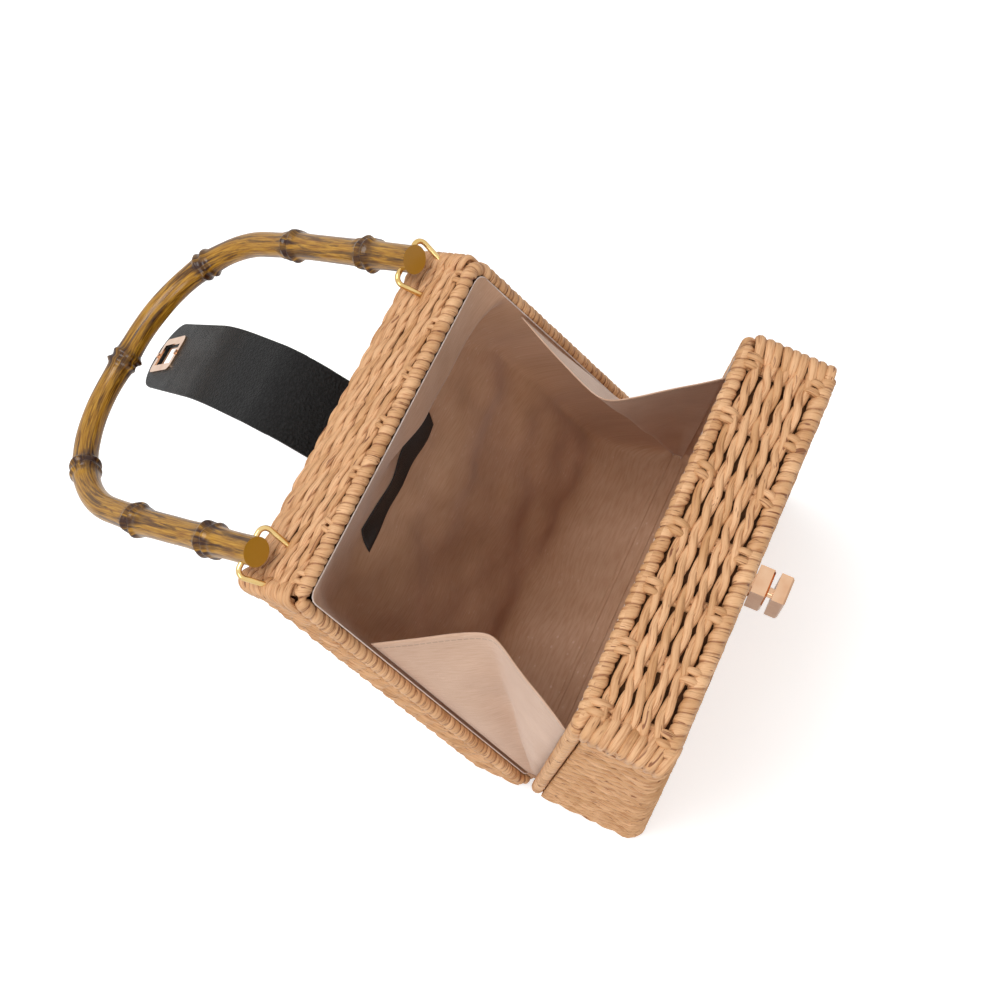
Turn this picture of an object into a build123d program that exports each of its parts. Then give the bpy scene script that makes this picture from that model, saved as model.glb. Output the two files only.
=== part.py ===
# Woven straw box handbag, stood open on its two outer bottom edges.
# Two tray-like halves are laced together along their bottom rims. The back half carries
# the handle on two rings and the leather strap; the front half carries the turn lock.
# Each half is drawn upright: X along the hinge, Y away from the mouth, Z up from its base.
# Then it is turned about the hinge line to the opening in which the bag stands.
from build123d import *
import math
import os

# Driving dimensions of the bag, in millimetres and degrees
TOP_WIDTH = 160.0
BASE_WIDTH = 200.0
HEIGHT = 200.0
BACK_TOP_DEPTH = 37.5
BACK_BASE_DEPTH = 41.5
FRONT_TOP_DEPTH = 37.5
FRONT_BASE_DEPTH = 60.0
OPENING = 33.7

# Weave: a wall of straw rows, with ribs that stand proud of it
WALL = 3.0
RIB_RELIEF = 0.7
ROW_PITCH = 9.0
CORNER_RADIUS = 8.0
ROLL = 2.4
TOP_COLUMNS = 5
GROOVE_WIDTH = 1.8
GROOVE_DEPTH = 1.1

# Wrapped rim round each mouth, on a white paper core
RIM_RADIUS = 3.0
RIM_CORE_RADIUS = 1.2
RIM_GAP = 0.5
RIM_CORNER = 6.5
RIM_SIDES = 10
RIM_CORE_SIDES = 6
TOP_ROLL_RADIUS = 3.2

# Cotton lining and side gussets
LINING = 0.8
LINING_CLEARANCE = 0.3
LINING_PANEL_GAP = 2.2
LINING_CORNER = 5.0
GUSSET = 0.6
GUSSET_HEIGHT = 152.0
GUSSET_FOLD_REACH = 141.0
GUSSET_FOLD_INSET = 36.0
LABEL_LENGTH = 70.0
LABEL_HEIGHT = 12.0
LABEL_THICKNESS = 0.4
LABEL_DROP = 45.0
LABEL_SHIFT = -6.0
LABEL_SLANT = 6.0

# Straw lacing that ties the two bottom rims together
LACE_COUNT = 6
LACE_PITCH = 32.0
LACE_WIDTH = 3.0
LACE_THICKNESS = 0.9

# Wire rings for the handle
WIRE_RADIUS = 1.15
RING_SPACING = 135.0
RING_BAR_HALF = 11.2
RING_BOW_HALF = 8.2
RING_HEIGHT = 16.6
RING_LEAN = 21.0
RING_BAR_CORNER = 3.2
RING_BOW_CORNER = 2.6
RING_FROM_RIM = 20.0
RING_BOW_DROP = 1.5

# Bamboo-look handle
HANDLE_RADIUS = 6.0
HANDLE_END_RADIUS = 5.7
HANDLE_END = 5.0
HANDLE_REACH = 162.0
HANDLE_BULGE = 4.0
HANDLE_BEND = 60.0
HANDLE_DROOP = 3.0
KNUCKLE_RADIUS = 7.3
KNUCKLE_LENGTH = 9.0
KNUCKLE_AT = (0.068, 0.195, 0.348)
BORE_CLEARANCE = 0.2

# Leather strap, sewn to the back panel and thrown back
STRAP_WIDTH = 38.0
STRAP_THICKNESS = 2.0
STRAP_SEWN_FROM = 118.0
STRAP_SEWN_TO = 166.0
STRAP_BEND_AT = 172.0
STRAP_CREST = 208.0
STRAP_CREST_FROM = 22.0
STRAP_CREST_TO = 74.0
STRAP_REACH = 176.0
STRAP_TIP_FALL = 36.0
STRAP_DRIFT = 17.0
STITCH_LENGTH = 3.0
STITCH_PITCH = 4.5
STITCH_INSET = 3.0
STITCH_WIDTH = 0.8
STITCH_HEIGHT = 0.5

# Turn lock, rose gold
LOCK_DROP = 31.0
LOCK_WIDTH = 11.0
LOCK_LENGTH = 24.0
LOCK_BASE_HEIGHT = 6.0
LOCK_KNOB_HEIGHT = 5.0
LOCK_GAP = 2.0
LOCK_CHAMFER = 0.7
SPINDLE_RADIUS = 2.0
SPINDLE_HEAD_RADIUS = 3.4
SPINDLE_HEAD = 1.0
PIN_CLEARANCE = 0.05
LEG_WIDTH = 5.0
LEG_THICKNESS = 1.0
LEG_OFFSET = 8.0
LEG_BEND = 3.5
LEG_CLEARANCE = 0.15
PLATE_THICKNESS = 0.8
PLATE_BORDER = 4.0
SLOT_CLEARANCE = 0.6
SLOT_FROM_TIP = 24.0
PLATE_SCREW_RADIUS = 1.4

# Values worked out from the dimensions
BACK_TILT = math.degrees(math.atan2(
    FRONT_BASE_DEPTH * math.sin(math.radians(OPENING)),
    BACK_BASE_DEPTH + FRONT_BASE_DEPTH * math.cos(math.radians(OPENING))))
FRONT_TILT = OPENING - BACK_TILT
RIM_BACK = RIM_GAP + 2 * RIM_RADIUS
LINING_INSET = 2 * RIM_RADIUS + LINING_CLEARANCE
LINING_BASE = 2 * RIM_RADIUS + LACE_THICKNESS + 2 * LINING_CLEARANCE


def half_width(z):
    """Half the outer width of the bag at height z."""
    return (BASE_WIDTH + (TOP_WIDTH - BASE_WIDTH) * z / HEIGHT) / 2


def depth_at(z, base_depth, top_depth):
    """Depth of a half from the mouth plane to its panel at height z."""
    return base_depth + (top_depth - base_depth) * z / HEIGHT


def box_between(low, high):
    """Box given by its lowest and highest corners."""
    size = [high[i] - low[i] for i in range(3)]
    middle = [(high[i] + low[i]) / 2 for i in range(3)]
    return Pos(*middle) * Box(*size)


def wall_section(z, grow, start, base_depth, top_depth, radius):
    """Horizontal section of a tray: square at the mouth and round at the panel's corners."""
    half = half_width(z) + grow
    depth = depth_at(z, base_depth, top_depth) + grow
    flat = Pos(0, (start + depth) / 2) * Rectangle(2 * half, depth - start)
    flat = fillet(flat.vertices().group_by(Axis.Y)[-1], radius)
    return Plane.XY.offset(z) * flat


def shell(base_depth, top_depth):
    """Woven tray: rows of straw go round the sides and the panel, columns along the top."""
    rows = round((HEIGHT - 2 * ROLL) / ROW_PITCH)
    pitch = (HEIGHT - 2 * ROLL) / rows
    steps = [(0.0, -ROLL), (ROLL * 0.3, -ROLL * 0.3)]
    for row in range(rows):
        steps.append((ROLL + row * pitch, 0.0))
        steps.append((ROLL + (row + 0.5) * pitch, RIB_RELIEF))
    steps += [(HEIGHT - ROLL, 0.0), (HEIGHT - ROLL * 0.3, -ROLL * 0.3), (HEIGHT, -ROLL)]
    outside = loft([wall_section(z, grow, RIM_BACK, base_depth, top_depth, CORNER_RADIUS)
                    for z, grow in steps], ruled=True)
    hollow = loft([wall_section(z, -WALL, RIM_BACK - WALL, base_depth, top_depth,
                                CORNER_RADIUS - WALL)
                   for z in (WALL, HEIGHT - WALL)], ruled=True)
    tray = outside - hollow
    return tray - column_grooves(base_depth, 0.0) - column_grooves(top_depth, HEIGHT)


def column_grooves(depth, z):
    """Grooves between the twined columns that run along the top or the base."""
    pitch = (depth - RIM_BACK - ROLL) / TOP_COLUMNS
    groove = Rot(45, 0, 0) * Box(BASE_WIDTH + 2 * WALL, GROOVE_WIDTH, GROOVE_WIDTH)
    sink = GROOVE_WIDTH / math.sqrt(2) - GROOVE_DEPTH
    height = z + math.copysign(sink, z - HEIGHT / 2)
    return Compound([Pos(0, RIM_BACK + pitch * i, height) * groove
                     for i in range(1, TOP_COLUMNS)])


def rim_path():
    """Closed line that the rim follows round the mouth."""
    low, high = RIM_RADIUS, HEIGHT - RIM_RADIUS
    slope = math.hypot(1, (BASE_WIDTH - TOP_WIDTH) / 2 / HEIGHT)
    inset = RIM_RADIUS * slope
    corners = [(half_width(low) - inset, low), (half_width(high) - inset, high),
               (inset - half_width(high), high), (inset - half_width(low), low)]
    frame = make_face(Polyline(*corners, close=True))
    frame = fillet(frame.vertices(), RIM_CORNER)
    return (Plane.XZ.offset(-(RIM_GAP + RIM_RADIUS)) * frame).wire()


def rim_tube(radius, sides):
    """Section with even sides, as straw wraps lie, carried along the rim's line."""
    path = rim_path()
    start = Plane(path @ 0, z_dir=path % 0)
    return sweep(start * RegularPolygon(radius, sides), path=path)


def lining_outline(grow):
    """Outline of the lining seen through the mouth, rounded like the rim's inside."""
    low, high = LINING_BASE + grow, HEIGHT - LINING_INSET - grow
    inset = LINING_INSET + grow
    corners = [(half_width(low) - inset, low), (half_width(high) - inset, high),
               (inset - half_width(high), high), (inset - half_width(low), low)]
    flat = make_face(Polyline(*corners, close=True))
    return fillet(flat.vertices(), LINING_CORNER - grow)


def lining(base_depth, top_depth):
    """Cotton lining: fixed at the rim's inner side and loose behind it."""
    lean = math.atan2(base_depth - top_depth, HEIGHT)
    layers = []
    for grow, start in ((0.0, RIM_GAP + 0.1), (LINING, -WALL)):
        tube = extrude(Plane.XZ.offset(-start) * lining_outline(grow), -2 * base_depth)
        back = WALL + LINING_PANEL_GAP + grow
        beyond = Plane(origin=(0, base_depth - back, 0), x_dir=(1, 0, 0),
                       z_dir=(0, math.cos(lean), math.sin(lean)))
        block = beyond.location * Box(2 * BASE_WIDTH, 3 * HEIGHT, 4 * base_depth,
                                      align=(Align.CENTER, Align.CENTER, Align.MIN))
        layers.append(tube - block)
    return layers[0] - layers[1]


def label():
    """Bare woven label with slanted ends, sewn near the top of the back lining."""
    low = HEIGHT - LABEL_DROP - LABEL_HEIGHT / 2
    half = LABEL_LENGTH / 2
    points = [(LABEL_SHIFT - half, 0), (LABEL_SHIFT + half - LABEL_SLANT, 0),
              (LABEL_SHIFT + half, LABEL_HEIGHT), (LABEL_SHIFT - half + LABEL_SLANT, LABEL_HEIGHT)]
    flat = make_face(Polyline(*points, close=True))
    face_y = depth_at(low, BACK_BASE_DEPTH, BACK_TOP_DEPTH) - WALL - LINING_PANEL_GAP - LINING
    lean = math.atan2(BACK_BASE_DEPTH - BACK_TOP_DEPTH, HEIGHT)
    plane = Plane(origin=(0, face_y, low), x_dir=(1, 0, 0),
                  z_dir=(0, -math.cos(lean), -math.sin(lean)))
    return extrude(plane * flat, LABEL_THICKNESS)


def panel_plane(z, base_depth, top_depth, proud=0.0):
    """Plane on a panel's outside at height z, its own Z pointing out of the bag."""
    lean = math.atan2(base_depth - top_depth, HEIGHT)
    normal = (0, math.cos(lean), math.sin(lean))
    y = depth_at(z, base_depth, top_depth)
    return Plane(origin=(0, y + proud * normal[1], z + proud * normal[2]),
                 x_dir=(-1, 0, 0), z_dir=normal)


def closed_wire_ring(corners, radii, radius):
    """Round wire bent into a closed loop with its own radius at each corner."""
    flat = make_face(Polyline(*corners, close=True))
    for corner, bend in zip(corners, radii):
        near = flat.vertices().sort_by(lambda v: math.hypot(v.X - corner[0], v.Y - corner[1]))
        flat = fillet(near[0], bend)
    path = flat.wire()
    start = Plane(path @ 0.0, z_dir=path % 0.0)
    return sweep(start * Circle(radius), path=path)


RING_PIVOT = (RING_FROM_RIM, HEIGHT - WALL - RING_BOW_DROP)
RING_BAR = (RING_PIVOT[0] + RING_HEIGHT * math.sin(math.radians(RING_LEAN)),
            RING_PIVOT[1] + RING_HEIGHT * math.cos(math.radians(RING_LEAN)))


def d_ring(side):
    """Wire ring: its narrow bow lies under the weave and its bar goes through the handle."""
    corners = [(-RING_BOW_HALF, 0), (RING_BOW_HALF, 0),
               (RING_BAR_HALF, RING_HEIGHT), (-RING_BAR_HALF, RING_HEIGHT)]
    radii = [RING_BOW_CORNER] * 2 + [RING_BAR_CORNER] * 2
    ring = Rot(90, 0, 0) * closed_wire_ring(corners, radii, WIRE_RADIUS)
    ring = Rot(-RING_LEAN, 0, 0) * ring
    return Pos(side * RING_SPACING / 2, *RING_PIVOT) * ring


def ring_slots():
    """Gaps in the top weave for the rings' legs, long enough for the rings to swing."""
    rise = HEIGHT + RIB_RELIEF - RING_PIVOT[1]
    swing = rise * math.tan(math.radians(RING_LEAN)) + WIRE_RADIUS + 0.5
    inner, outer = RING_BOW_HALF - RING_BOW_CORNER, RING_BAR_HALF + 0.4
    slots = []
    for side in (-1, 1):
        for leg in (-1, 1):
            middle = side * RING_SPACING / 2 + leg * (inner + outer) / 2
            slots.append(Pos(middle, RING_FROM_RIM, HEIGHT)
                         * Box(outer - inner, 2 * swing, 4 * WALL))
    return Compound(slots)


def handle():
    """Horseshoe handle of moulded bamboo look, flat across its cut ends."""
    half = RING_SPACING / 2
    wide = half + HANDLE_BULGE
    lines = FilletPolyline((half, -HANDLE_END), (wide, HANDLE_REACH * 0.45),
                           (wide, HANDLE_REACH), (-wide, HANDLE_REACH),
                           (-wide, HANDLE_REACH * 0.45), (-half, -HANDLE_END),
                           radius=HANDLE_BEND)
    path = lines.wire()
    rod = sweep(Plane(path @ 0, z_dir=path % 0) * Circle(HANDLE_RADIUS), path=path)
    for share in [0.5] + [s for at in KNUCKLE_AT for s in (at, 1 - at)]:
        rod += knuckle(Plane(path @ share, z_dir=path % share))
    for side in (-1, 1):
        hole = Pos(side * half, 0, 0) * Rot(0, 90, 0)
        rod -= hole * Cylinder(WIRE_RADIUS + BORE_CLEARANCE, 4 * HANDLE_RADIUS)
    rod = Rot(-HANDLE_DROOP, 0, 0) * rod
    return Pos(0, *RING_BAR) * rod


def knuckle(plane):
    """Raised ring of a bamboo joint: a barrel round the handle."""
    half = KNUCKLE_LENGTH / 2
    root = HANDLE_RADIUS - (KNUCKLE_RADIUS - HANDLE_RADIUS)
    profile = make_face(Polyline((0, -half), (root, -half), (KNUCKLE_RADIUS, -half / 3),
                                 (KNUCKLE_RADIUS, half / 3), (root, half), (0, half),
                                 close=True))
    return plane.location * revolve(Plane.XZ * profile, Axis.Z)


def strap_start():
    """Where the strap's inner face touches the back panel: slightly proud of the ribs."""
    return BACK_TOP_DEPTH + RIB_RELIEF + STRAP_THICKNESS / 2


def strap_line():
    """Side view of the strap's middle line: up the panel, then thrown back in one arch."""
    lean = (BACK_BASE_DEPTH - BACK_TOP_DEPTH) / HEIGHT

    def on_panel(z):
        return (strap_start() + lean * (HEIGHT - z), z)

    return [on_panel(STRAP_SEWN_FROM), on_panel(STRAP_BEND_AT),
            (BACK_TOP_DEPTH + STRAP_CREST_FROM, STRAP_CREST),
            (BACK_TOP_DEPTH + STRAP_CREST_TO, STRAP_CREST),
            (BACK_TOP_DEPTH + STRAP_REACH, STRAP_CREST - STRAP_TIP_FALL)]


def strap_blank():
    """Leather strap before its slot is cut."""
    points = strap_line()
    side_view = FilletPolyline(*points, radius=(20.0, 24.0, 110.0))
    band = offset(side_view.wire(), STRAP_THICKNESS / 2, kind=Kind.ARC, side=Side.BOTH)
    sheet = extrude(Plane.YZ * make_face(band), 3 * STRAP_WIDTH, both=True)
    tip_y = points[-1][0]
    bend_y = BACK_TOP_DEPTH + STRAP_CREST_FROM
    middle = FilletPolyline((0, 0), (0, bend_y), (STRAP_DRIFT, tip_y - STRAP_WIDTH / 2), radius=150.0)
    plan = offset(middle.wire(), STRAP_WIDTH / 2, kind=Kind.ARC, side=Side.BOTH)
    return sheet & extrude(make_face(plan), 2 * HEIGHT)


def slot_plane():
    """Plane on the strap's upper face at the middle of the lock slot."""
    rear, tip = strap_line()[-2:]
    fall = math.atan2(rear[1] - tip[1], tip[0] - rear[0])
    along = (math.cos(fall), -math.sin(fall))
    y, z = tip[0] - SLOT_FROM_TIP * along[0], tip[1] - SLOT_FROM_TIP * along[1]
    normal = (0, math.sin(fall), math.cos(fall))
    share = (y - BACK_TOP_DEPTH - STRAP_CREST_FROM) / (
        tip[0] - STRAP_WIDTH / 2 - BACK_TOP_DEPTH - STRAP_CREST_FROM)
    return Plane(origin=(STRAP_DRIFT * share, y, z), x_dir=(1, 0, 0), z_dir=normal)


def slot_size(grow=0.0):
    """Slot in the strap that passes over the lock's knob."""
    return (LOCK_WIDTH + 2 * SLOT_CLEARANCE + 2 * grow, LOCK_LENGTH + 2 * SLOT_CLEARANCE + 2 * grow)


def slot_plates():
    """Metal frames on both faces of the strap round the slot, held by two screws."""
    plane = slot_plane()
    wide, long = slot_size()
    outline = Rectangle(wide + 2 * PLATE_BORDER, long + 2 * PLATE_BORDER)
    outline = fillet(outline.vertices(), PLATE_BORDER)
    frame = outline - Rectangle(wide, long)
    half = STRAP_THICKNESS / 2
    over = extrude(frame, PLATE_THICKNESS)
    screws = Compound([Pos(0, side * (long + PLATE_BORDER) / 2, half + PLATE_THICKNESS)
                       * Cylinder(PLATE_SCREW_RADIUS, PLATE_THICKNESS,
                                  align=(Align.CENTER, Align.CENTER, Align.MIN))
                       for side in (-1, 1)])
    upper = plane.location * (Pos(0, 0, half) * over)
    lower = plane.location * (Pos(0, 0, -half - PLATE_THICKNESS) * over)
    return upper, lower, plane.location * screws


def strap():
    """Strap with the slot for the lock."""
    wide, long = slot_size()
    cut = slot_plane().location * Box(wide, long, 4 * STRAP_THICKNESS)
    return strap_blank() - cut


def stitching():
    """Thread stitches round the patch where the strap is sewn to the back panel."""
    plane = panel_plane(STRAP_SEWN_FROM, BACK_BASE_DEPTH, BACK_TOP_DEPTH,
                        RIB_RELIEF + STRAP_THICKNESS)
    wide = STRAP_WIDTH - 2 * STITCH_INSET
    tall = STRAP_SEWN_TO - STRAP_SEWN_FROM - 2 * STITCH_INSET
    bottom = STITCH_INSET
    across = int(wide // STITCH_PITCH)
    up = int(tall // STITCH_PITCH)
    lying = Box(STITCH_LENGTH, STITCH_WIDTH, STITCH_HEIGHT, align=(Align.CENTER, Align.CENTER, Align.MIN))
    standing = Box(STITCH_WIDTH, STITCH_LENGTH, STITCH_HEIGHT, align=(Align.CENTER, Align.CENTER, Align.MIN))
    stitches = []
    for i in range(across):
        x = (i - (across - 1) / 2) * STITCH_PITCH
        stitches += [Pos(x, bottom, 0) * lying, Pos(x, bottom + tall, 0) * lying]
    for i in range(up):
        y = bottom + tall / 2 + (i - (up - 1) / 2) * STITCH_PITCH
        stitches += [Pos(-wide / 2, y, 0) * standing, Pos(wide / 2, y, 0) * standing]
    return plane.location * Compound(stitches)


def lock_pieces():
    """Turn lock: base with two bent legs, washer behind the weave, spindle and knob."""
    high = LOCK_BASE_HEIGHT
    base = extrude(Rectangle(LOCK_WIDTH, LOCK_LENGTH), high)
    base = chamfer(base.edges().group_by(Axis.Z)[-1], LOCK_CHAMFER)
    base -= Cylinder(SPINDLE_RADIUS + PIN_CLEARANCE, 4 * high)
    base -= Cylinder(SPINDLE_HEAD_RADIUS + PIN_CLEARANCE, 2 * (SPINDLE_HEAD + PIN_CLEARANCE))
    low = RIB_RELIEF + WALL + PLATE_THICKNESS
    for side in (-1, 1):
        y = side * LEG_OFFSET
        base += box_between((-LEG_WIDTH / 2, y - LEG_THICKNESS / 2, -low - LEG_THICKNESS),
                            (LEG_WIDTH / 2, y + LEG_THICKNESS / 2, 0))
        tip = y - side * LEG_BEND
        base += box_between((-LEG_WIDTH / 2, min(y, tip), -low - LEG_THICKNESS),
                            (LEG_WIDTH / 2, max(y, tip), -low))
    washer = box_between((-LOCK_WIDTH / 2, -LOCK_LENGTH / 2, -low),
                         (LOCK_WIDTH / 2, LOCK_LENGTH / 2, -low + PLATE_THICKNESS))
    washer -= leg_slots(low)
    knob_from = high + LOCK_GAP
    knob = Pos(0, 0, knob_from) * extrude(Rectangle(LOCK_WIDTH, LOCK_LENGTH), LOCK_KNOB_HEIGHT)
    knob = chamfer(knob.edges().group_by(Axis.Z)[-1], LOCK_CHAMFER)
    grip = LOCK_KNOB_HEIGHT / 2
    upright = (Align.CENTER, Align.CENTER, Align.MIN)
    knob -= Pos(0, 0, knob_from) * Cylinder(SPINDLE_RADIUS, grip, align=upright)
    spindle = Cylinder(SPINDLE_HEAD_RADIUS, SPINDLE_HEAD, align=upright)
    spindle += Cylinder(SPINDLE_RADIUS, knob_from + grip, align=upright)
    plane = panel_plane(HEIGHT - LOCK_DROP, FRONT_BASE_DEPTH, FRONT_TOP_DEPTH, RIB_RELIEF)
    return [plane.location * piece for piece in (base, washer, knob, spindle)]


def leg_slots(low):
    """Slots for the lock's legs through the weave and the washer."""
    wide, thick = LEG_WIDTH + 2 * LEG_CLEARANCE, LEG_THICKNESS + 2 * LEG_CLEARANCE
    return Compound([Pos(0, side * LEG_OFFSET, -low / 2) * Box(wide, thick, 2 * low)
                     for side in (-1, 1)])


def top_roll():
    """Wrapped roll along the outer top edge of the front half."""
    y, z = FRONT_TOP_DEPTH - TOP_ROLL_RADIUS, HEIGHT - TOP_ROLL_RADIUS + RIB_RELIEF
    long = 2 * (half_width(HEIGHT) - CORNER_RADIUS)
    return Pos(0, y, z) * Rot(0, 90, 0) * Cylinder(TOP_ROLL_RADIUS, long)


def top_roll_seat():
    """Step in the front shell that the roll lies in."""
    y, z = FRONT_TOP_DEPTH - 2 * TOP_ROLL_RADIUS, HEIGHT - 2 * TOP_ROLL_RADIUS + RIB_RELIEF
    long = half_width(HEIGHT) - CORNER_RADIUS
    return box_between((-long, y, z), (long, y + 4 * TOP_ROLL_RADIUS, z + 4 * TOP_ROLL_RADIUS))


def hinge_turn(degrees):
    """Turn about the hinge line, which lies between the two bottom rims."""
    return Pos(0, 0, RIM_RADIUS) * Rot(degrees, 0, 0) * Pos(0, 0, -RIM_RADIUS)


BACK_PLACE = hinge_turn(-BACK_TILT)
FRONT_PLACE = hinge_turn(FRONT_TILT)


def to_front(shape):
    """Turn a half that was drawn behind the mouth plane to the front."""
    return mirror(shape, about=Plane.XZ)


def lacing():
    """Straw ties round both bottom rims, drawn in the bag's open pose."""
    middle = RIM_GAP + RIM_RADIUS
    centres = []
    for place, y in ((BACK_PLACE, middle), (FRONT_PLACE, -middle)):
        point = (place * Pos(0, y, RIM_RADIUS)).position
        centres.append((point.Y, point.Z))
    ties = []
    for i in range(LACE_COUNT):
        x = (i - (LACE_COUNT - 1) / 2) * LACE_PITCH
        inner, outer = [Pos(x - LACE_WIDTH / 2, 0, 0) * tie_body(centres, r)
                        for r in (RIM_RADIUS + 0.1, RIM_RADIUS + 0.1 + LACE_THICKNESS)]
        ties.append(outer - inner)
    return Compound(ties)


def tie_body(centres, radius):
    """Solid round both rims at one distance from their middle lines."""
    (y0, z0), (y1, z1) = centres
    span = math.hypot(y1 - y0, z1 - z0)
    flat = SlotCenterToCenter(span, 2 * radius)
    angle = math.degrees(math.atan2(z1 - z0, y1 - y0))
    flat = Pos((y0 + y1) / 2, (z0 + z1) / 2) * Rot(0, 0, angle) * flat
    return extrude(Plane.YZ * flat, LACE_WIDTH)


def lace_slots():
    """Gaps beside the rims for the ties, along the bottom of either half."""
    reach = RIM_BACK + LACE_THICKNESS + 0.6
    slots = []
    for i in range(LACE_COUNT):
        x = (i - (LACE_COUNT - 1) / 2) * LACE_PITCH
        half = LACE_WIDTH / 2 + 0.4
        slots.append(box_between((x - half, 0, -WALL), (x + half, reach, 2 * RIM_RADIUS + 1)))
    return Compound(slots)


def gusset(side):
    """Folded cotton gusset between the two halves: two flat wings and the crease between."""
    inset = LINING_INSET + LINING + 0.7
    start = (half_width(2 * RIM_RADIUS) - inset, RIM_GAP + 1.0, 2 * RIM_RADIUS + 3.0)
    top = (half_width(GUSSET_HEIGHT) - inset, RIM_GAP + 1.0, GUSSET_HEIGHT)
    hinge = Vector(side * start[0], 0, start[2])
    back = (BACK_PLACE * Pos(side * top[0], top[1], top[2])).position
    front = (FRONT_PLACE * Pos(side * top[0], -top[1], top[2])).position
    lean = math.radians((BACK_TILT - FRONT_TILT) / 2)
    fold = Vector(side * (half_width(GUSSET_HEIGHT) - GUSSET_FOLD_INSET + LINING_INSET),
                  GUSSET_FOLD_REACH * math.sin(lean),
                  GUSSET_FOLD_REACH * math.cos(lean) + RIM_RADIUS)
    wings = [gusset_wing(hinge, back, fold), gusset_wing(hinge, fold, front)]
    return wings[0] + wings[1]


def gusset_wing(a, b, c):
    """One flat wing of a gusset."""
    flat = make_face(Polyline(tuple(a), tuple(b), tuple(c), close=True))
    return extrude(flat, GUSSET / 2, dir=flat.face().normal_at(), both=True)


def front_pieces():
    """Nodes of the front half, drawn behind the mouth plane."""
    base, washer, knob, spindle = lock_pieces()
    lock_plane = panel_plane(HEIGHT - LOCK_DROP, FRONT_BASE_DEPTH, FRONT_TOP_DEPTH, RIB_RELIEF)
    seat = lock_plane.location * box_between(
        (-LOCK_WIDTH / 2 - 0.5, -LOCK_LENGTH / 2 - 0.5, 0),
        (LOCK_WIDTH / 2 + 0.5, LOCK_LENGTH / 2 + 0.5, 2 * WALL))
    legs = lock_plane.location * leg_slots(RIB_RELIEF + WALL + PLATE_THICKNESS)
    core = rim_tube(RIM_CORE_RADIUS, RIM_CORE_SIDES)
    return {
        "front_shell": shell(FRONT_BASE_DEPTH, FRONT_TOP_DEPTH)
        - top_roll_seat() - lace_slots() - seat - legs,
        "front_rim": rim_tube(RIM_RADIUS, RIM_SIDES) - core,
        "front_rim_core": core,
        "front_top_roll": top_roll(),
        "front_lining": lining(FRONT_BASE_DEPTH, FRONT_TOP_DEPTH),
        "lock_base": base,
        "lock_washer": washer,
        "lock_knob": knob,
        "lock_spindle": spindle,
    }


def back_pieces():
    """Nodes of the back half, its rings, handle and strap."""
    core = rim_tube(RIM_CORE_RADIUS, RIM_CORE_SIDES)
    upper, lower, screws = slot_plates()
    return {
        "back_shell": shell(BACK_BASE_DEPTH, BACK_TOP_DEPTH) - ring_slots() - lace_slots(),
        "back_rim": rim_tube(RIM_RADIUS, RIM_SIDES) - core,
        "back_rim_core": core,
        "back_lining": lining(BACK_BASE_DEPTH, BACK_TOP_DEPTH),
        "lining_label": label(),
        "d_ring_left": d_ring(-1),
        "d_ring_right": d_ring(1),
        "handle": handle(),
        "strap": strap(),
        "strap_stitching": stitching(),
        "slot_plate": upper,
        "slot_back_plate": lower,
        "slot_screws": screws,
    }


def build():
    """Every node in the bag's own frame, origin at the middle of its footprint box."""
    nodes = {name: BACK_PLACE * piece for name, piece in back_pieces().items()}
    nodes.update({name: FRONT_PLACE * to_front(piece) for name, piece in front_pieces().items()})
    nodes["hinge_lacing"] = lacing()
    nodes["gusset_left"] = gusset(-1)
    nodes["gusset_right"] = gusset(1)
    box = Compound(list(nodes.values())).bounding_box()
    shift = Pos(-box.center().X, -box.center().Y, -box.min.Z)
    return {name: shift * piece for name, piece in nodes.items()}, shift


nodes, shift = build()
os.makedirs("parts", exist_ok=True)
for name, piece in nodes.items():
    export_step(piece, f"parts/{name}.step")
print("back tilt", round(BACK_TILT, 2), "front tilt", round(FRONT_TILT, 2),
      "shift", [round(v, 2) for v in shift.position])
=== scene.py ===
# %% [markdown]
# # A woven straw box handbag, standing open
# The bag is two straw trays laced together along their bottom rims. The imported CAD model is
# the fixed frame: it says where each part is and what moves. This lesson dresses it in
# strands, cloth, leather, resin and metal, one kind of thing at a time.

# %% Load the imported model
import math

import bmesh
import bpy
import numpy as np
from mathutils import Matrix, Vector


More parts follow.
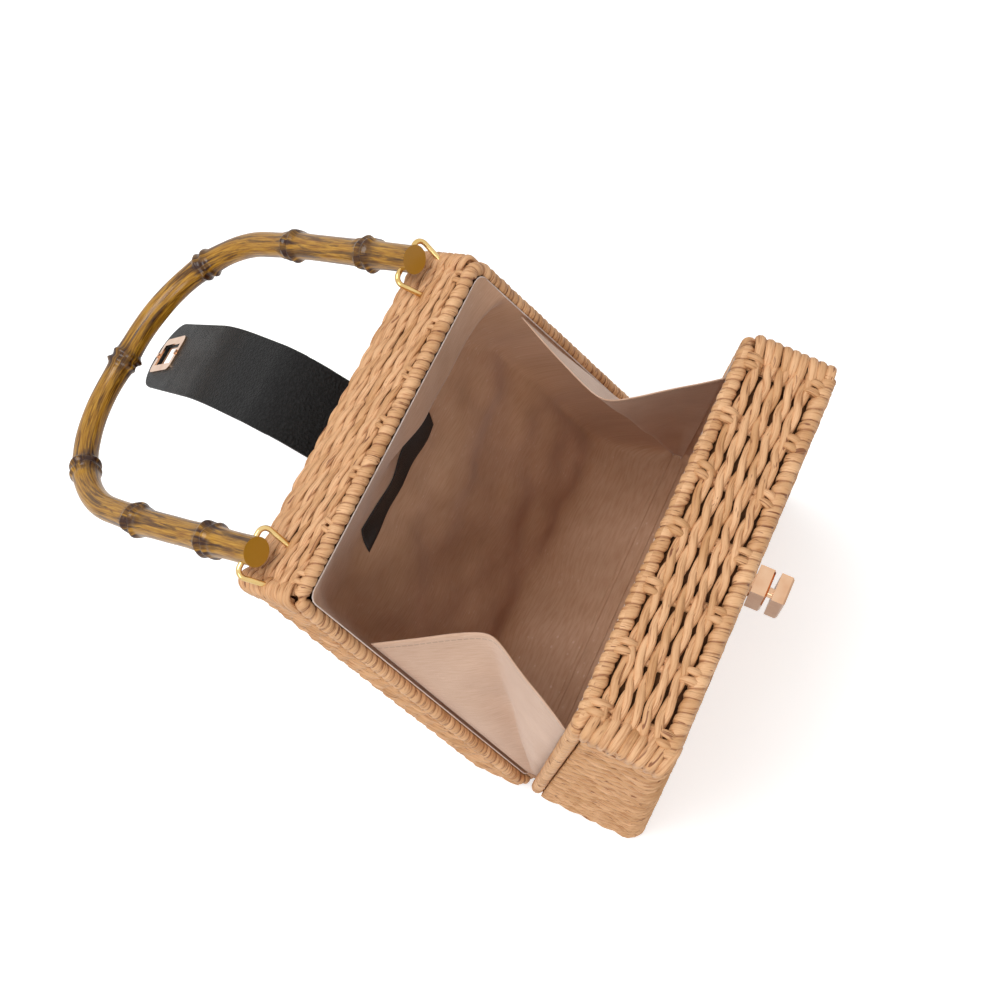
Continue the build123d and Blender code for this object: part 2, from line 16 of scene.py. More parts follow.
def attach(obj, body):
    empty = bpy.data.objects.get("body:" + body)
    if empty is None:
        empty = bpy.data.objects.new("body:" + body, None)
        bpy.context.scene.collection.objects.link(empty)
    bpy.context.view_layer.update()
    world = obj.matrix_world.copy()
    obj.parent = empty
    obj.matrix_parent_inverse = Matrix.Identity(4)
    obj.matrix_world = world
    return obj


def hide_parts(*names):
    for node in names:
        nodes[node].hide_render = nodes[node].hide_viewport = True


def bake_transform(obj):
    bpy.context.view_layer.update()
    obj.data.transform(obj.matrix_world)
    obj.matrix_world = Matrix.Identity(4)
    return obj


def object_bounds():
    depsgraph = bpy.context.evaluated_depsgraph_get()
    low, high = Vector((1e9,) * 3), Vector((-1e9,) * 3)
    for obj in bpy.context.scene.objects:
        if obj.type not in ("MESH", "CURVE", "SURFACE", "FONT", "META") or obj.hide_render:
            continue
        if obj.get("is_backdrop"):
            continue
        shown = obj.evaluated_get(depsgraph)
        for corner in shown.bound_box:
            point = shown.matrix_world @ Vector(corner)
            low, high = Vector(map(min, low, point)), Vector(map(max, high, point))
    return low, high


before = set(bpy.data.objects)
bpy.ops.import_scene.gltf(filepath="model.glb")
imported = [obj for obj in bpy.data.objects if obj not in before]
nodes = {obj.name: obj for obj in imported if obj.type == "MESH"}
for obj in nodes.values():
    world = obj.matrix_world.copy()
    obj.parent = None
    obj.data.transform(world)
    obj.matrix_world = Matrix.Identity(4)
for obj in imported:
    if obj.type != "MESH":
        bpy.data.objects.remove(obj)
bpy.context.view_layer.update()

# %% [markdown]
# ## The camera
# The photograph looks down into the open bag from its front left, turned by about thirty
# degrees. The camera stands where the bag's corners fall on the same places of the picture.

# %% Set the camera
CAMERA_AT = Vector((-0.1121, -0.2119, 0.5876))
CAMERA_RIGHT = Vector((0.4279, -0.8780, -0.2143))
CAMERA_FORWARD = Vector((0.2340, 0.3367, -0.9121))
camera_data = bpy.data.cameras.new("photo_camera")
camera_data.sensor_width = 36.0
camera_data.lens = 41.05
camera_data.clip_start = 0.01
camera = bpy.data.objects.new("photo_camera", camera_data)
bpy.context.scene.collection.objects.link(camera)
back = -CAMERA_FORWARD.normalized()
right = (CAMERA_RIGHT - CAMERA_RIGHT.dot(back) * back).normalized()
camera.matrix_world = Matrix.Translation(CAMERA_AT) @ Matrix(
    (right, back.cross(right), back)).transposed().to_4x4()
bpy.context.scene.camera = camera
print("camera at", tuple(round(v, 3) for v in CAMERA_AT))

# %% [markdown]
# ## Two upright halves
# A half is easiest to think of standing upright: X along the hinge, Y away from the mouth,
# Z up from its base, in millimetres. One matrix then leans it about the hinge and turns
# millimetres into metres. The front half is the same with Y pointing forwards.

# %% Places on the halves
HINGE_LINE = Vector((0.0, -0.082336, 0.016547))
LEAN = {"back": -20.01, "front": 13.69}
SIDE = {"back": 1.0, "front": -1.0}
BODY = {"back": "back_half", "front": "front_half"}
BASE_DEPTH = {"back": 41.5, "front": 60.0}
TOP_DEPTH = 37.5
HEIGHT = 200.0
RIM_RADIUS = 3.0
RIM_BACK = 6.5


def stand(half):
    """The matrix that leans an upright half about the hinge line."""
    return (Matrix.Translation(HINGE_LINE) @ Matrix.Rotation(math.radians(LEAN[half]), 4, "X")
            @ Matrix.Translation((0, 0, -RIM_RADIUS * 0.001)) @ Matrix.Scale(0.001, 4))


def half_width(z):
    """Half the bag's outer width at height z."""
    return 100.0 - 20.0 * z / HEIGHT


def depth_at(half, z):
    """Depth of a half at height z, from the mouth to the panel's outside."""
    return BASE_DEPTH[half] + (TOP_DEPTH - BASE_DEPTH[half]) * z / HEIGHT


def on_half(half, points):
    """Upright points of a half, in millimetres, as places in the row frame, in metres."""
    matrix = np.array(stand(half))
    points = np.asarray(points, float) * (1, SIDE[half], 1)
    return points @ matrix[:3, :3].T + matrix[:3, 3]


# %% [markdown]
# ## Lines
# Every strand, wire and rod follows a line. A line is given by its corners: one helper rounds
# them, another puts points on the line at even steps, so that a twist has an even pitch.

# %% Rounded and evenly stepped lines
def rounded(corners, radius, closed=False, steps=7):
    """A line through the corners, each rounded with the radius or with its own one of several."""
    corners = [np.array(c, float) for c in corners]
    radii = np.broadcast_to(radius, len(corners))
    line = []
    for i, corner in enumerate(corners):
        if not closed and i in (0, len(corners) - 1):
            line.append(corner)
            continue
        before, after = corners[i - 1] - corner, corners[(i + 1) % len(corners)] - corner
        before, after = before / np.linalg.norm(before), after / np.linalg.norm(after)
        half = math.acos(np.clip(before @ after, -1, 1)) / 2
        if half > math.pi / 2 - 0.01:
            line.append(corner)
            continue
        middle = (before + after) / np.linalg.norm(before + after)
        centre = corner + middle * radii[i] / math.sin(half)
        start = corner + before * radii[i] / math.tan(half) - centre
        end = corner + after * radii[i] / math.tan(half) - centre
        sweep = math.pi - 2 * half
        for k in range(steps + 1):
            share = k / steps
            line.append(centre + (math.sin((1 - share) * sweep) * start
                                  + math.sin(share * sweep) * end) / math.sin(sweep))
    return np.array(line)


def reach_along(line):
    """How far along the line each of its points lies."""
    return np.concatenate([[0], np.cumsum(np.linalg.norm(np.diff(line, axis=0), axis=1))])


def even(line, step, closed=False):
    """Points along a line at an even step close to the one asked for."""
    line = np.asarray(line, float)
    if closed:
        line = np.vstack([line, line[:1]])
    reach = reach_along(line)
    count = max(2, round(reach[-1] / step))
    at = np.linspace(0, reach[-1], count + 1)
    points = np.stack([np.interp(at, reach, line[:, k]) for k in range(3)], axis=1)
    return points[:-1] if closed else points


def tangents(line, closed=False):
    """The direction of a line at each of its points."""
    if closed:
        step = np.roll(line, -1, axis=0) - np.roll(line, 1, axis=0)
    else:
        step = np.gradient(line, axis=0)
    return step / np.linalg.norm(step, axis=1)[:, None]


def wander(count, spacing, seed):
    """A smooth random line between -1 and 1 with a knot every so many steps."""
    random_knots = np.random.default_rng(seed).uniform(-1, 1, count // spacing + 3)
    at = np.linspace(0, len(random_knots) - 1.001, count)
    low = at.astype(int)
    share = at - low
    share = share * share * (3 - 2 * share)
    return random_knots[low] * (1 - share) + random_knots[low + 1] * share


# %% [markdown]
# ## Colours and nodes
# Colours are written as they are mixed on a screen, in hex, and one function turns them into
# the linear light that Blender works with. Another adds a node. Its inputs take a number, a
# hex colour, a socket, or a whole node, which stands for its first output.

# %% Colour and node helpers
def colour(text):
    """A hex colour as linear red, green, blue and alpha."""
    parts = [int(text[i:i + 2], 16) / 255 for i in (1, 3, 5)]
    return tuple(c / 12.92 if c <= 0.04045 else ((c + 0.055) / 1.055) ** 2.4
                 for c in parts) + (1.0,)


def feed(tree, node, inputs):
    """Gives a node's inputs their values and links."""
    for key, value in inputs.items():
        if isinstance(value, bpy.types.Node):
            value = next(socket for socket in value.outputs if socket.enabled)
        if isinstance(value, bpy.types.NodeSocket):
            tree.links.new(value, node.inputs[key])
        else:
            node.inputs[key].default_value = colour(value) if isinstance(value, str) else value
    return node


def add(tree, kind, inputs=None, stops=(), **settings):
    """A node with its settings, the stops of its colour ramp, its plain inputs and its links."""
    node = tree.nodes.new("ShaderNode" + kind)
    for name, value in settings.items():
        setattr(node, name, value)
    for number, (position, text) in enumerate(stops):
        elements = node.color_ramp.elements
        element = elements[number] if number < len(elements) else elements.new(position)
        element.position, element.color = position, colour(text)
    return feed(tree, node, inputs or {})


def stretched_noise(tree, uv, scale, **inputs):
    """Noise that is drawn out along a UV map."""
    place = add(tree, "Mapping", {"Vector": uv, "Scale": (*scale, 1)})
    return add(tree, "TexNoise", {"Vector": place, "Scale": 1.0, **inputs})


def new_material(name):
    """An empty material with its tree and its main shader."""
    made = bpy.data.materials.new(name)
    made.use_nodes = True
    return made, made.node_tree, made.node_tree.nodes["Principled BSDF"]


def flecked_material(name, scale, detail, stops, rough):
    """A matt material with one fine noise through its colour."""
    made, tree, shader = new_material(name)
    noise = add(tree, "TexNoise", {"Vector": add(tree, "TexCoord").outputs["Object"],
                                   "Scale": scale, "Detail": detail})
    feed(tree, shader, {"Base Color": add(tree, "ValToRGB", {"Fac": noise}, stops),
                        "Roughness": rough})
    return made


# %% [markdown]
# ## Twisted paper straw
# The bag is woven from paper that is creased and twisted into a cord: matt to silky, with fine
# creases that run along the cord. Noise that is stretched along each strand gives the creases,
# and each strand gets its own tone, as every length of paper takes the dye a little
# differently. The strands' own UV map carries the pattern: U goes round the strand and V along
# it, in millimetres, and each strand starts at the next multiple of twenty in U.

# %% Straw materials
def straw_material(name, light, dark, across=1.0, painted_valley_shade=False):
    """Paper straw; across is how many millimetres one unit of U stands for; the last argument
    darkens the valleys between wraps as painted shade.
    """
    made, tree, shader = new_material(name)
    uv = add(tree, "UVMap", uv_map="fibre")
    strand = add(tree, "Math", {0: add(tree, "SeparateXYZ", {"Vector": uv}), 1: 20.0},
                 operation="DIVIDE")
    tone = add(tree, "TexWhiteNoise", {"W": add(tree, "Math", {0: strand}, operation="FLOOR")},
               noise_dimensions="1D")
    # Fibres 0.7 mm wide, and creases 1.3 mm wide, both about 10 mm long.
    fibre = stretched_noise(tree, uv, (1.5 * across, 0.09), Detail=4.0, Roughness=0.6)
    crease = stretched_noise(tree, uv, (0.75 * across, 0.11), Detail=2.0, Distortion=0.6)
    patch = stretched_noise(tree, uv, (0.05 * across, 0.05))
    mixed = add(tree, "Math", {0: tone, 1: 0.35, 2: patch}, operation="MULTIPLY_ADD")
    mixed = add(tree, "Math", {0: mixed, 1: 0.18}, operation="SUBTRACT")
    paint = add(tree, "ValToRGB", {"Fac": mixed}, [(0.25, dark), (0.75, light)])
    # The fibres' tint is the paper's own grain; the creases' dark brown is painted shade in their
    # folds.
    layers = [(0.75, fibre, [(0.3, "#B98E63"), (0.5, "#FFFFFF")]),
              (0.8, crease, [(0.31, "#8A5A33"), (0.36, "#FFFFFF")])]
    if painted_valley_shade:
        # Painted shade: the colour darkens towards the valley between two wraps.
        off = add(tree, "Math", {0: strand}, operation="FRACT")
        off = add(tree, "Math", {0: off, 1: 0.5}, operation="SUBTRACT")
        off = add(tree, "Math", {0: off}, operation="ABSOLUTE")
        layers.append((0.7, off, [(0.38, "#FFFFFF"), (0.49, "#9A6C44")]))
    for strength, value, stops in layers:
        tint = add(tree, "ValToRGB", {"Fac": value}, stops)
        paint = add(tree, "Mix", {0: strength, 6: paint, 7: tint}, data_type="RGBA",
                    blend_type="MULTIPLY")
    height = add(tree, "Math", {0: fibre, 1: 0.6, 2: crease}, operation="MULTIPLY_ADD")
    bump = add(tree, "Bump", {"Height": height, "Strength": 0.75, "Distance": 0.0006})
    feed(tree, shader, {"Base Color": paint, "Roughness": 0.52, "Specular IOR Level": 0.4,
                        "Normal": bump})
    return made


straw = straw_material("twisted_paper_straw", "#E2B285", "#C49262")
wrapped_straw = straw_material("wrapped_paper_straw", "#E4B587", "#C79566", across=0.225,
                               painted_valley_shade=True)
print("straw materials", straw.name, wrapped_straw.name)

# %% [markdown]
# ## Strands
# A curve with a small oval profile makes a strand with one point for each ring of faces. Many
# strands share one curve, so a whole woven wall is one mesh. The curve's Z-up mode keeps the
# oval lying flat on its wall. The mesh's last vertices are the rings in order, so the place
# round and along each strand can be written to the fibre UV map.

# %% Strand and wire builder
def oval(wide, high, sides):
    """A closed oval profile for a curve's bevel."""
    curve = bpy.data.curves.new("oval", "CURVE")
    curve.dimensions = "2D"
    spline = curve.splines.new("POLY")
    spline.points.add(sides - 1)
    for i, point in enumerate(spline.points):
        turn = 2 * math.pi * (i + 0.5) / sides
        point.co = (wide / 2 * math.cos(turn), high / 2 * math.sin(turn), 0, 1)
    spline.use_cyclic_u = True
    holder = bpy.data.objects.new("oval", curve)
    bpy.context.scene.collection.objects.link(holder)
    return holder


def tube_mesh(name, runs, wide, high, sides, closed=False, twist="Z_UP"):
    """A mesh of tubes along runs of (x, y, z) or (x, y, z, size), with the fibre UV map on it."""
    runs = [run if run.shape[1] == 4 else np.column_stack([run, np.ones(len(run))]) for run in runs]
    profile = oval(wide, high, sides)
    curve = bpy.data.curves.new(name, "CURVE")
    curve.dimensions, curve.twist_mode = "3D", twist
    curve.bevel_mode, curve.bevel_object = "OBJECT", profile
    curve.use_fill_caps = not closed
    for run in runs:
        spline = curve.splines.new("POLY")
        spline.points.add(len(run) - 1)
        flat = np.ones((len(run), 4))
        flat[:, :3] = run[:, :3]
        spline.points.foreach_set("co", flat.ravel())
        spline.points.foreach_set("radius", np.ascontiguousarray(run[:, 3]))
        spline.use_cyclic_u = closed
    holder = bpy.data.objects.new(name, curve)
    bpy.context.scene.collection.objects.link(holder)
    bpy.context.view_layer.update()
    graph = bpy.context.evaluated_depsgraph_get()
    mesh = bpy.data.meshes.new_from_object(holder.evaluated_get(graph))
    mesh.name = name
    bpy.data.objects.remove(holder)
    bpy.data.objects.remove(profile)
    write_fibre(mesh, runs, (wide + high) * math.pi / 2, sides, closed)
    return mesh

# %% Read and write a mesh
def face_corners(mesh):
    """The vertex of every face corner."""
    corner = np.zeros(len(mesh.loops), int)
    mesh.loops.foreach_get("vertex_index", corner)
    return corner


def write_uv(mesh, name, uv):
    """Writes a UV map, one row for each face corner."""
    layer = mesh.uv_layers.get(name) or mesh.uv_layers.new(name=name)
    layer.data.foreach_set("uv", uv.astype(np.float32).ravel())


def tube_rings(mesh, line, sides):
    """A tube's vertex places, the number of its first ring vertex, and the ring of each."""
    place = np.zeros(len(mesh.vertices) * 3)
    mesh.vertices.foreach_get("co", place)
    first = len(mesh.vertices) - sides * len(line)
    return place.reshape(-1, 3), first, np.repeat(np.arange(len(line)), sides)


def write_fibre(mesh, runs, girth, sides, closed):
    """Writes the place round and along each strand to the UV map named fibre."""
    count = len(mesh.vertices)
    place = np.zeros((count, 3))
    at = count - sides * sum(len(run) for run in runs)
    for number, run in enumerate(runs):
        rows = slice(at, at + sides * len(run))
        place[rows, 0] = np.tile(np.arange(sides), len(run))
        place[rows, 1] = np.repeat(reach_along(run[:, :3]), sides)
        place[rows, 2] = number
        at = rows.stop
    total = np.zeros(len(mesh.polygons), int)
    mesh.polygons.foreach_get("loop_total", total)
    uv = place[face_corners(mesh)]
    quads = uv[int(total[total == 3].sum()):].reshape(-1, 4, 3)
    wraps = np.ptp(quads[:, :, 0], axis=1) > sides / 2
    quads[:, :, 0] += np.where(wraps[:, None] & (quads[:, :, 0] < sides / 2), sides, 0)
    if closed:
        length = quads[:, :, 1].max()
        wraps = np.ptp(quads[:, :, 1], axis=1) > length / 2
        quads[:, :, 1] += np.where(wraps[:, None] & (quads[:, :, 1] < length / 2), length, 0)
    write_uv(mesh, "fibre", np.stack([uv[:, 2] * 20 + uv[:, 0] / sides * girth,
                                      uv[:, 1] + uv[:, 2] * 37], axis=1))
    other = mesh.uv_layers.get("UVMap")
    if other is not None:
        mesh.uv_layers.remove(other)

# %% Finish a piece
def finish_piece(mesh, material, body, matrix=None, replaces=()):
    """Closes the mesh's seams, puts it in place and lets it ride with its body."""
    work = bmesh.new()
    work.from_mesh(mesh)
    bmesh.ops.remove_doubles(work, verts=work.verts, dist=1e-5 if matrix is not None else 1e-8)
    if matrix is not None:
        bmesh.ops.transform(work, matrix=matrix, verts=work.verts)
    bmesh.ops.recalc_face_normals(work, faces=work.faces)
    work.to_mesh(mesh)
    work.free()
    mesh.materials.clear()
    mesh.materials.append(material)
    mesh.polygons.foreach_set("use_smooth", [True] * len(mesh.polygons))
    piece = bpy.data.objects.new(mesh.name, mesh)
    bpy.context.scene.collection.objects.link(piece)
    if body:
        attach(piece, body)
    if replaces:
        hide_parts(*replaces)
    print(mesh.name, "faces", len(mesh.polygons))
    return piece


def strands(name, half, runs, wide, high, sides, replaces=()):
    """A woven piece of one half: each run is upright millimetres with a size."""
    placed = []
    for run in runs:
        run = np.array(run, float)
        run[:, 1] *= SIDE[half]
        placed.append(run)
    mesh = tube_mesh(name, placed, wide, high, sides)
    return finish_piece(mesh, straw, BODY[half], stand(half), replaces)


# %% [markdown]
# ## Twining
# Straw box bags are twined: two strands turn round each other and hold a stake in every
# turn. From outside each strand comes up as a long slanted oval and dips under the next. So a
# row is a pair of strands that circle one line, half a turn apart. The twist wanders a little,
# because hands made it.

# %% Twined pairs
def twined(line, across, half_turn, spread, lift, seed, phase=0.0):
    """Two runs that turn round each other along the line."""
    across = np.array(across, float)
    flow = tangents(line)
    normal = np.cross(flow, across)
    reach = reach_along(line)
    knot = max(2, int(half_turn / (reach[1] or 1)))
    turn = math.pi * reach / half_turn + phase + 0.45 * wander(len(line), knot, seed)
    runs = []
    for strand in (0, 1):
        angle = turn + math.pi * strand
        size = (0.87 + 0.2 * np.abs(np.sin(angle))
                + 0.07 * wander(len(line), knot, seed + 7 + strand))
        side = spread * (1 + 0.2 * wander(len(line), knot, seed + 3 + strand))
        run = (line + across * (side * np.cos(angle))[:, None]
               + normal * (lift * np.sin(angle))[:, None])
        runs.append(np.column_stack([run, size]))
    return runs

# %% Rows and columns
ROW_PITCH = 4.9
PANEL_HALF_TURN = 10.0


def wall_rows(half):
    """Rows that go round both sides and the panel of a half, from the base to the top."""
    runs = []
    count = round((HEIGHT - 8) / ROW_PITCH)
    for row in range(count + 1):
        z = 3.6 + (HEIGHT - 7.6) * row / count
        wide, deep = half_width(z) - 1.7, depth_at(half, z) - 1.7
        line = even(rounded([(-wide, RIM_BACK + 0.6, z), (-wide, deep, z), (wide, deep, z),
                             (wide, RIM_BACK + 0.6, z)], 6.0, steps=5), 2.2)
        middle = (RIM_BACK + deep) / 2 + 2
        on_side = np.clip((np.abs(line[:, 0]) - wide + 4) / 4, 0, 1)
        rise = min(2.6, (HEIGHT - 6 - z) * 0.5)
        line[:, 2] += max(rise, 0) * on_side * np.exp(-np.abs(line[:, 1] - middle) / 7)
        runs += twined(line, (0, 0, 1), PANEL_HALF_TURN, 0.95, 0.65, 100 + row * 11,
                       phase=math.pi * (row % 2) * 0.5)
    return runs


def flat_columns(half, z, places, half_turn, seed, dip=1.8, out=1.0, spread=0.75, stagger=0.9):
    """Columns along the top or the base, at these distances from the mouth."""
    runs = []
    for number, (y, drop) in enumerate(places):
        wide = half_width(z) - 4.0
        line = even([(-wide, y, z), (wide, y, z)], 1.6)
        near_end = np.clip((np.abs(line[:, 0]) - wide + 9) / 9, 0, 1)
        line[:, 2] = z - out * (drop + dip * near_end ** 2)
        line[:, 1] += 0.35 * wander(len(line), 9, seed + number * 5)
        runs += twined(line, (0, 1, 0), half_turn, spread, 0.7, seed + number * 13,
                       phase=number * stagger)
    return runs


for half in ("back", "front"):
    strands(half + "_wall_rows", half, wall_rows(half), 2.5, 3.3, 6, replaces=(half + "_shell",))
    deep = BASE_DEPTH[half] - 3
    count = round((deep - 9) / ROW_PITCH) + 1
    base_places = [(y, 0.0) for y in np.linspace(9.3, deep - 1.5, count)]
    strands(half + "_base_columns", half,
            flat_columns(half, 1.9, base_places, 10.0, 700, out=-1.0), 3.4, 2.3, 6)

TOP_LEVEL = HEIGHT - 1.75
front_places = [(9.2 + 4.75 * k, 0.0) for k in range(5)]
strands("front_top_columns", "front",
        flat_columns("front", TOP_LEVEL, front_places, 11.5, 900, spread=1.05, stagger=0.55),
        3.0, 2.3, 8)
back_places = [(9.0, 0.0), (13.9, 0.0), (18.8, 0.1), (23.7, 0.0), (28.6, 0.2), (33.2, 1.0)]
strands("back_top_columns", "back",
        flat_columns("back", TOP_LEVEL, back_places, 11.5, 1300), 3.5, 2.3, 8)

# %% [markdown]
# ## Wrapped rims
# Round the mouth runs a rim: a paper core bound tightly with flat straw. A coil of separate
# loops would be thousands of faces that nobody sees, so one tube is made along the rim and its
# rings are moved in and out to the shape of the wraps: a row of bands that lie a little
# slanted, with a sharp valley between them.

# %% Rim wraps
WRAP_PITCH = 4.4


def wrapped(name, half, line, radius, closed, seed, replaces, bare=None):
    """A tube whose surface is a coil of flat wraps, like bound straw."""
    line = np.array(line, float) * (1, SIDE[half], 1)
    sides = 14
    mesh = tube_mesh(name, [line], 2 * radius, 2 * radius, sides, closed=closed, twist="MINIMUM")
    place, first, ring = tube_rings(mesh, line, sides)
    flow = tangents(line, closed)
    across = np.array((0.0, 1.0, 0.0))
    up = np.cross(flow, across)
    up /= np.linalg.norm(up, axis=1)[:, None]
    across = np.cross(up, flow)
    gap = np.linalg.norm(line[1] - line[0])
    length = gap * (len(line) if closed else len(line) - 1)
    wraps = round(length / WRAP_PITCH)
    arm = place[first:] - line[ring]
    angle = np.arctan2(np.sum(arm * across[ring], axis=1), np.sum(arm * up[ring], axis=1))
    uneven = 0.22 * wander(len(line), 5, seed)
    number = np.arange(len(line))
    uneven *= np.minimum(1, np.minimum(number, len(line) - 1 - number) / 8)
    coil = (number * gap / length * wraps + uneven)[ring] + angle / (2 * math.pi)
    own = np.random.default_rng(seed + 1).uniform(-1, 1, wraps + 4)
    which = np.floor(coil).astype(int) % wraps
    share = coil - np.floor(coil)
    crown = np.abs(np.sin(math.pi * share)) ** 0.55
    lobe = 0.06 * np.sin(2 * math.pi * (share * 2 + own[which]))
    new = radius * (0.76 + 0.28 * crown * (1 + 0.12 * own[which]) + lobe * crown * 0.6)
    if bare is not None:
        off = np.linalg.norm(line[ring] - np.array(bare) * (1, SIDE[half], 1), axis=1)
        new = np.where(off < 1.4, np.minimum(new, 1.6), new)
    arm /= np.linalg.norm(arm, axis=1)[:, None]
    place[first:] = line[ring] + arm * new[:, None]
    mesh.vertices.foreach_set("co", place.ravel())
    corner = face_corners(mesh)
    own_coil, own_angle = np.zeros((2, len(place)))
    own_coil[first:], own_angle[first:] = coil, angle
    uv = np.column_stack([own_coil[corner] * 20, own_angle[corner] * radius])
    start = len(uv) - 4 * sides * (len(line) if closed else len(line) - 1)
    quads = uv[start:].reshape(-1, 4, 2)
    turn = 2 * math.pi * radius
    shift = np.round((quads[:, :1, 1] - quads[:, :, 1]) / turn)
    quads[:, :, 1] += shift * turn
    quads[:, :, 0] += shift * 20
    whole = wraps * 20
    quads[:, :, 0] += np.round((quads[:, :1, 0] - quads[:, :, 0]) / whole) * whole
    write_uv(mesh, "fibre", uv)
    return finish_piece(mesh, wrapped_straw, BODY[half], stand(half), replaces)

# %% The three wrapped lines
def rim_line(inset, y, low, radius, step):
    """The closed line of a rim round the mouth, in the plane at distance y from it."""
    corners = [(s * (half_width(z) - inset * 1.005), y, z)
               for s, z in ((1, low), (1, HEIGHT - inset), (-1, HEIGHT - inset), (-1, low))]
    return even(rounded(corners, radius, closed=True), step, closed=True)


rim = rim_line(RIM_RADIUS, RIM_BACK - RIM_RADIUS, RIM_RADIUS, 6.5, 0.75)
wrapped("back_rim_wraps", "back", rim, 3.0, True, 21, ("back_rim",), bare=(-75.5, 3.5, 195.2))
wrapped("front_rim_wraps", "front", rim, 3.0, True, 57, ("front_rim",), bare=(75.5, 3.5, 195.2))
roll = even([(-75.0, TOP_DEPTH - 3.0, HEIGHT - 2.6), (75.0, TOP_DEPTH - 3.0, HEIGHT - 2.6)], 0.75)
wrapped("front_roll_wraps", "front", roll, 3.2, False, 91, ("front_top_roll",))

# %% [markdown]
# ## Stakes, loops and the dark behind them
# Under the columns lie the stakes, in pairs. Each pair comes out of the rim as two loops and
# dives under the first column. At each end of the two tops, fat loops of straw go over the
# edge. Between the strands the eye meets only shadow, so a dark tray stands right
# behind them.

# %% Stakes and edge loops
STAKE_PITCH = 23.0
stake_places = [STAKE_PITCH * (k - 3) for k in range(7)]


def top_stakes(far):
    """Pairs of stakes that lie under the top columns and end at the distance far."""
    runs = []
    for place in stake_places:
        for off in (-1.6, 1.6):
            runs.append(even([(place + off, 5.0, 196.9), (place + off, far, 196.9)], 4.0))
    return runs


def rim_loops(near, over, into, seed):
    """Pairs of short loops from a rim to the first column."""
    runs = []
    lean = np.random.default_rng(seed).uniform(-1.2, 1.2, 20)
    for number, place in enumerate(stake_places):
        for off in (-1.7, 1.7):
            shift = place + off
            line = rounded([(shift - lean[number], near, 198.4), (shift, over, 200.3),
                            (shift + lean[number], into, 196.6)], 2.6, steps=6)
            size = np.linspace(1.0, 0.75, len(line))
            runs.append(np.column_stack([line, size]))
    return runs


strands("front_top_stakes", "front",
        top_stakes(32.0) + rim_loops(3.0, 7.6, 12.0, 5) + rim_loops(35.5, 30.6, 26.0, 6),
        3.3, 2.4, 8)
strands("back_top_stakes", "back", top_stakes(33.0) + rim_loops(3.0, 7.2, 11.0, 8),
        2.5, 1.7, 8)

# %% Loops over the ends of the tops
EDGE_LOOPS = 9


def edge_loops(near, far, reach, seed):
    """Loops that go over the two ends of the top, side by side from near to far."""
    runs = []
    rng = np.random.default_rng(seed)
    for side in (-1, 1):
        for number in range(EDGE_LOOPS):
            y = near + (far - near) * number / (EDGE_LOOPS - 1) + rng.uniform(-0.3, 0.3)
            lean = rng.uniform(0.8, 2.2)
            inner = reach + rng.uniform(-1.2, 1.2)
            wide = half_width(HEIGHT)
            line = even(rounded([(side * (wide + 0.3), y - lean * 0.4, HEIGHT - 9),
                                 (side * (wide - 0.3), y, HEIGHT - 0.4),
                                 (side * (wide - inner), y + lean, HEIGHT - 0.9),
                                 (side * (wide - inner - 3), y + lean * 1.3, HEIGHT - 3.6)],
                                3.2), 1.3)
            size = 0.72 + 0.34 * np.sin(np.linspace(0.25, math.pi - 0.1, len(line)))
            runs.append(np.column_stack([line, size]))
    return runs


strands("front_edge_loops", "front", edge_loops(6.5, 34.0, 8.0, 31), 3.7, 2.4, 8)
strands("back_edge_loops", "back", edge_loops(7.5, 34.5, 6.0, 33), 3.5, 2.3, 8)

# %% The dark behind the weave
# Painted shade: the tray's dark browns stand for the shadow between and behind the strands.
shade_straw = flecked_material("painted_shade_inner_straw", 300.0, 2.0,
                               [(0.3, "#4A2E1A"), (0.7, "#80552F")], 0.9)


SHADE_INSET, SHADE_MOUTH = 4.3, RIM_BACK - 1.0
for half in ("back", "front"):
    work = bmesh.new()
    bmesh.ops.create_cube(work, size=1.0)
    for v in work.verts:
        z = SHADE_INSET if v.co.z < 0 else HEIGHT - SHADE_INSET
        y = SHADE_MOUTH if v.co.y < 0 else depth_at(half, z) - SHADE_INSET
        v.co = (math.copysign(half_width(z) - SHADE_INSET, v.co.x), SIDE[half] * y, z)
    mouth = [f for f in work.faces if all(abs(abs(v.co.y) - SHADE_MOUTH) < 0.01 for v in f.verts)]
    bmesh.ops.delete(work, geom=mouth, context="FACES")
    bmesh.ops.bevel(work, geom=[e for e in work.edges if not e.is_boundary], offset=4.0, segments=4,
                    affect="EDGES", profile=0.5, material=-1)
    bmesh.ops.recalc_face_normals(work, faces=work.faces)
    bmesh.ops.solidify(work, geom=work.faces[:], thickness=0.5)
    mesh = bpy.data.meshes.new(half + "_shadow_tray")
    work.to_mesh(mesh)
    work.free()
    finish_piece(mesh, shade_straw, BODY[half], stand(half))

# %% [markdown]
# ## Cotton lining
# Each half is lined with a beige pink cotton sateen. It is fixed along the rim's inner side,
# goes back loosely along the walls and lies wrinkled in front of the panel. So it is a height
# field over the mouth: a depth for every place, nothing at the edge and full over the panel.
# Under the back's top the cloth slopes in one half and hangs as a small curtain in the other.

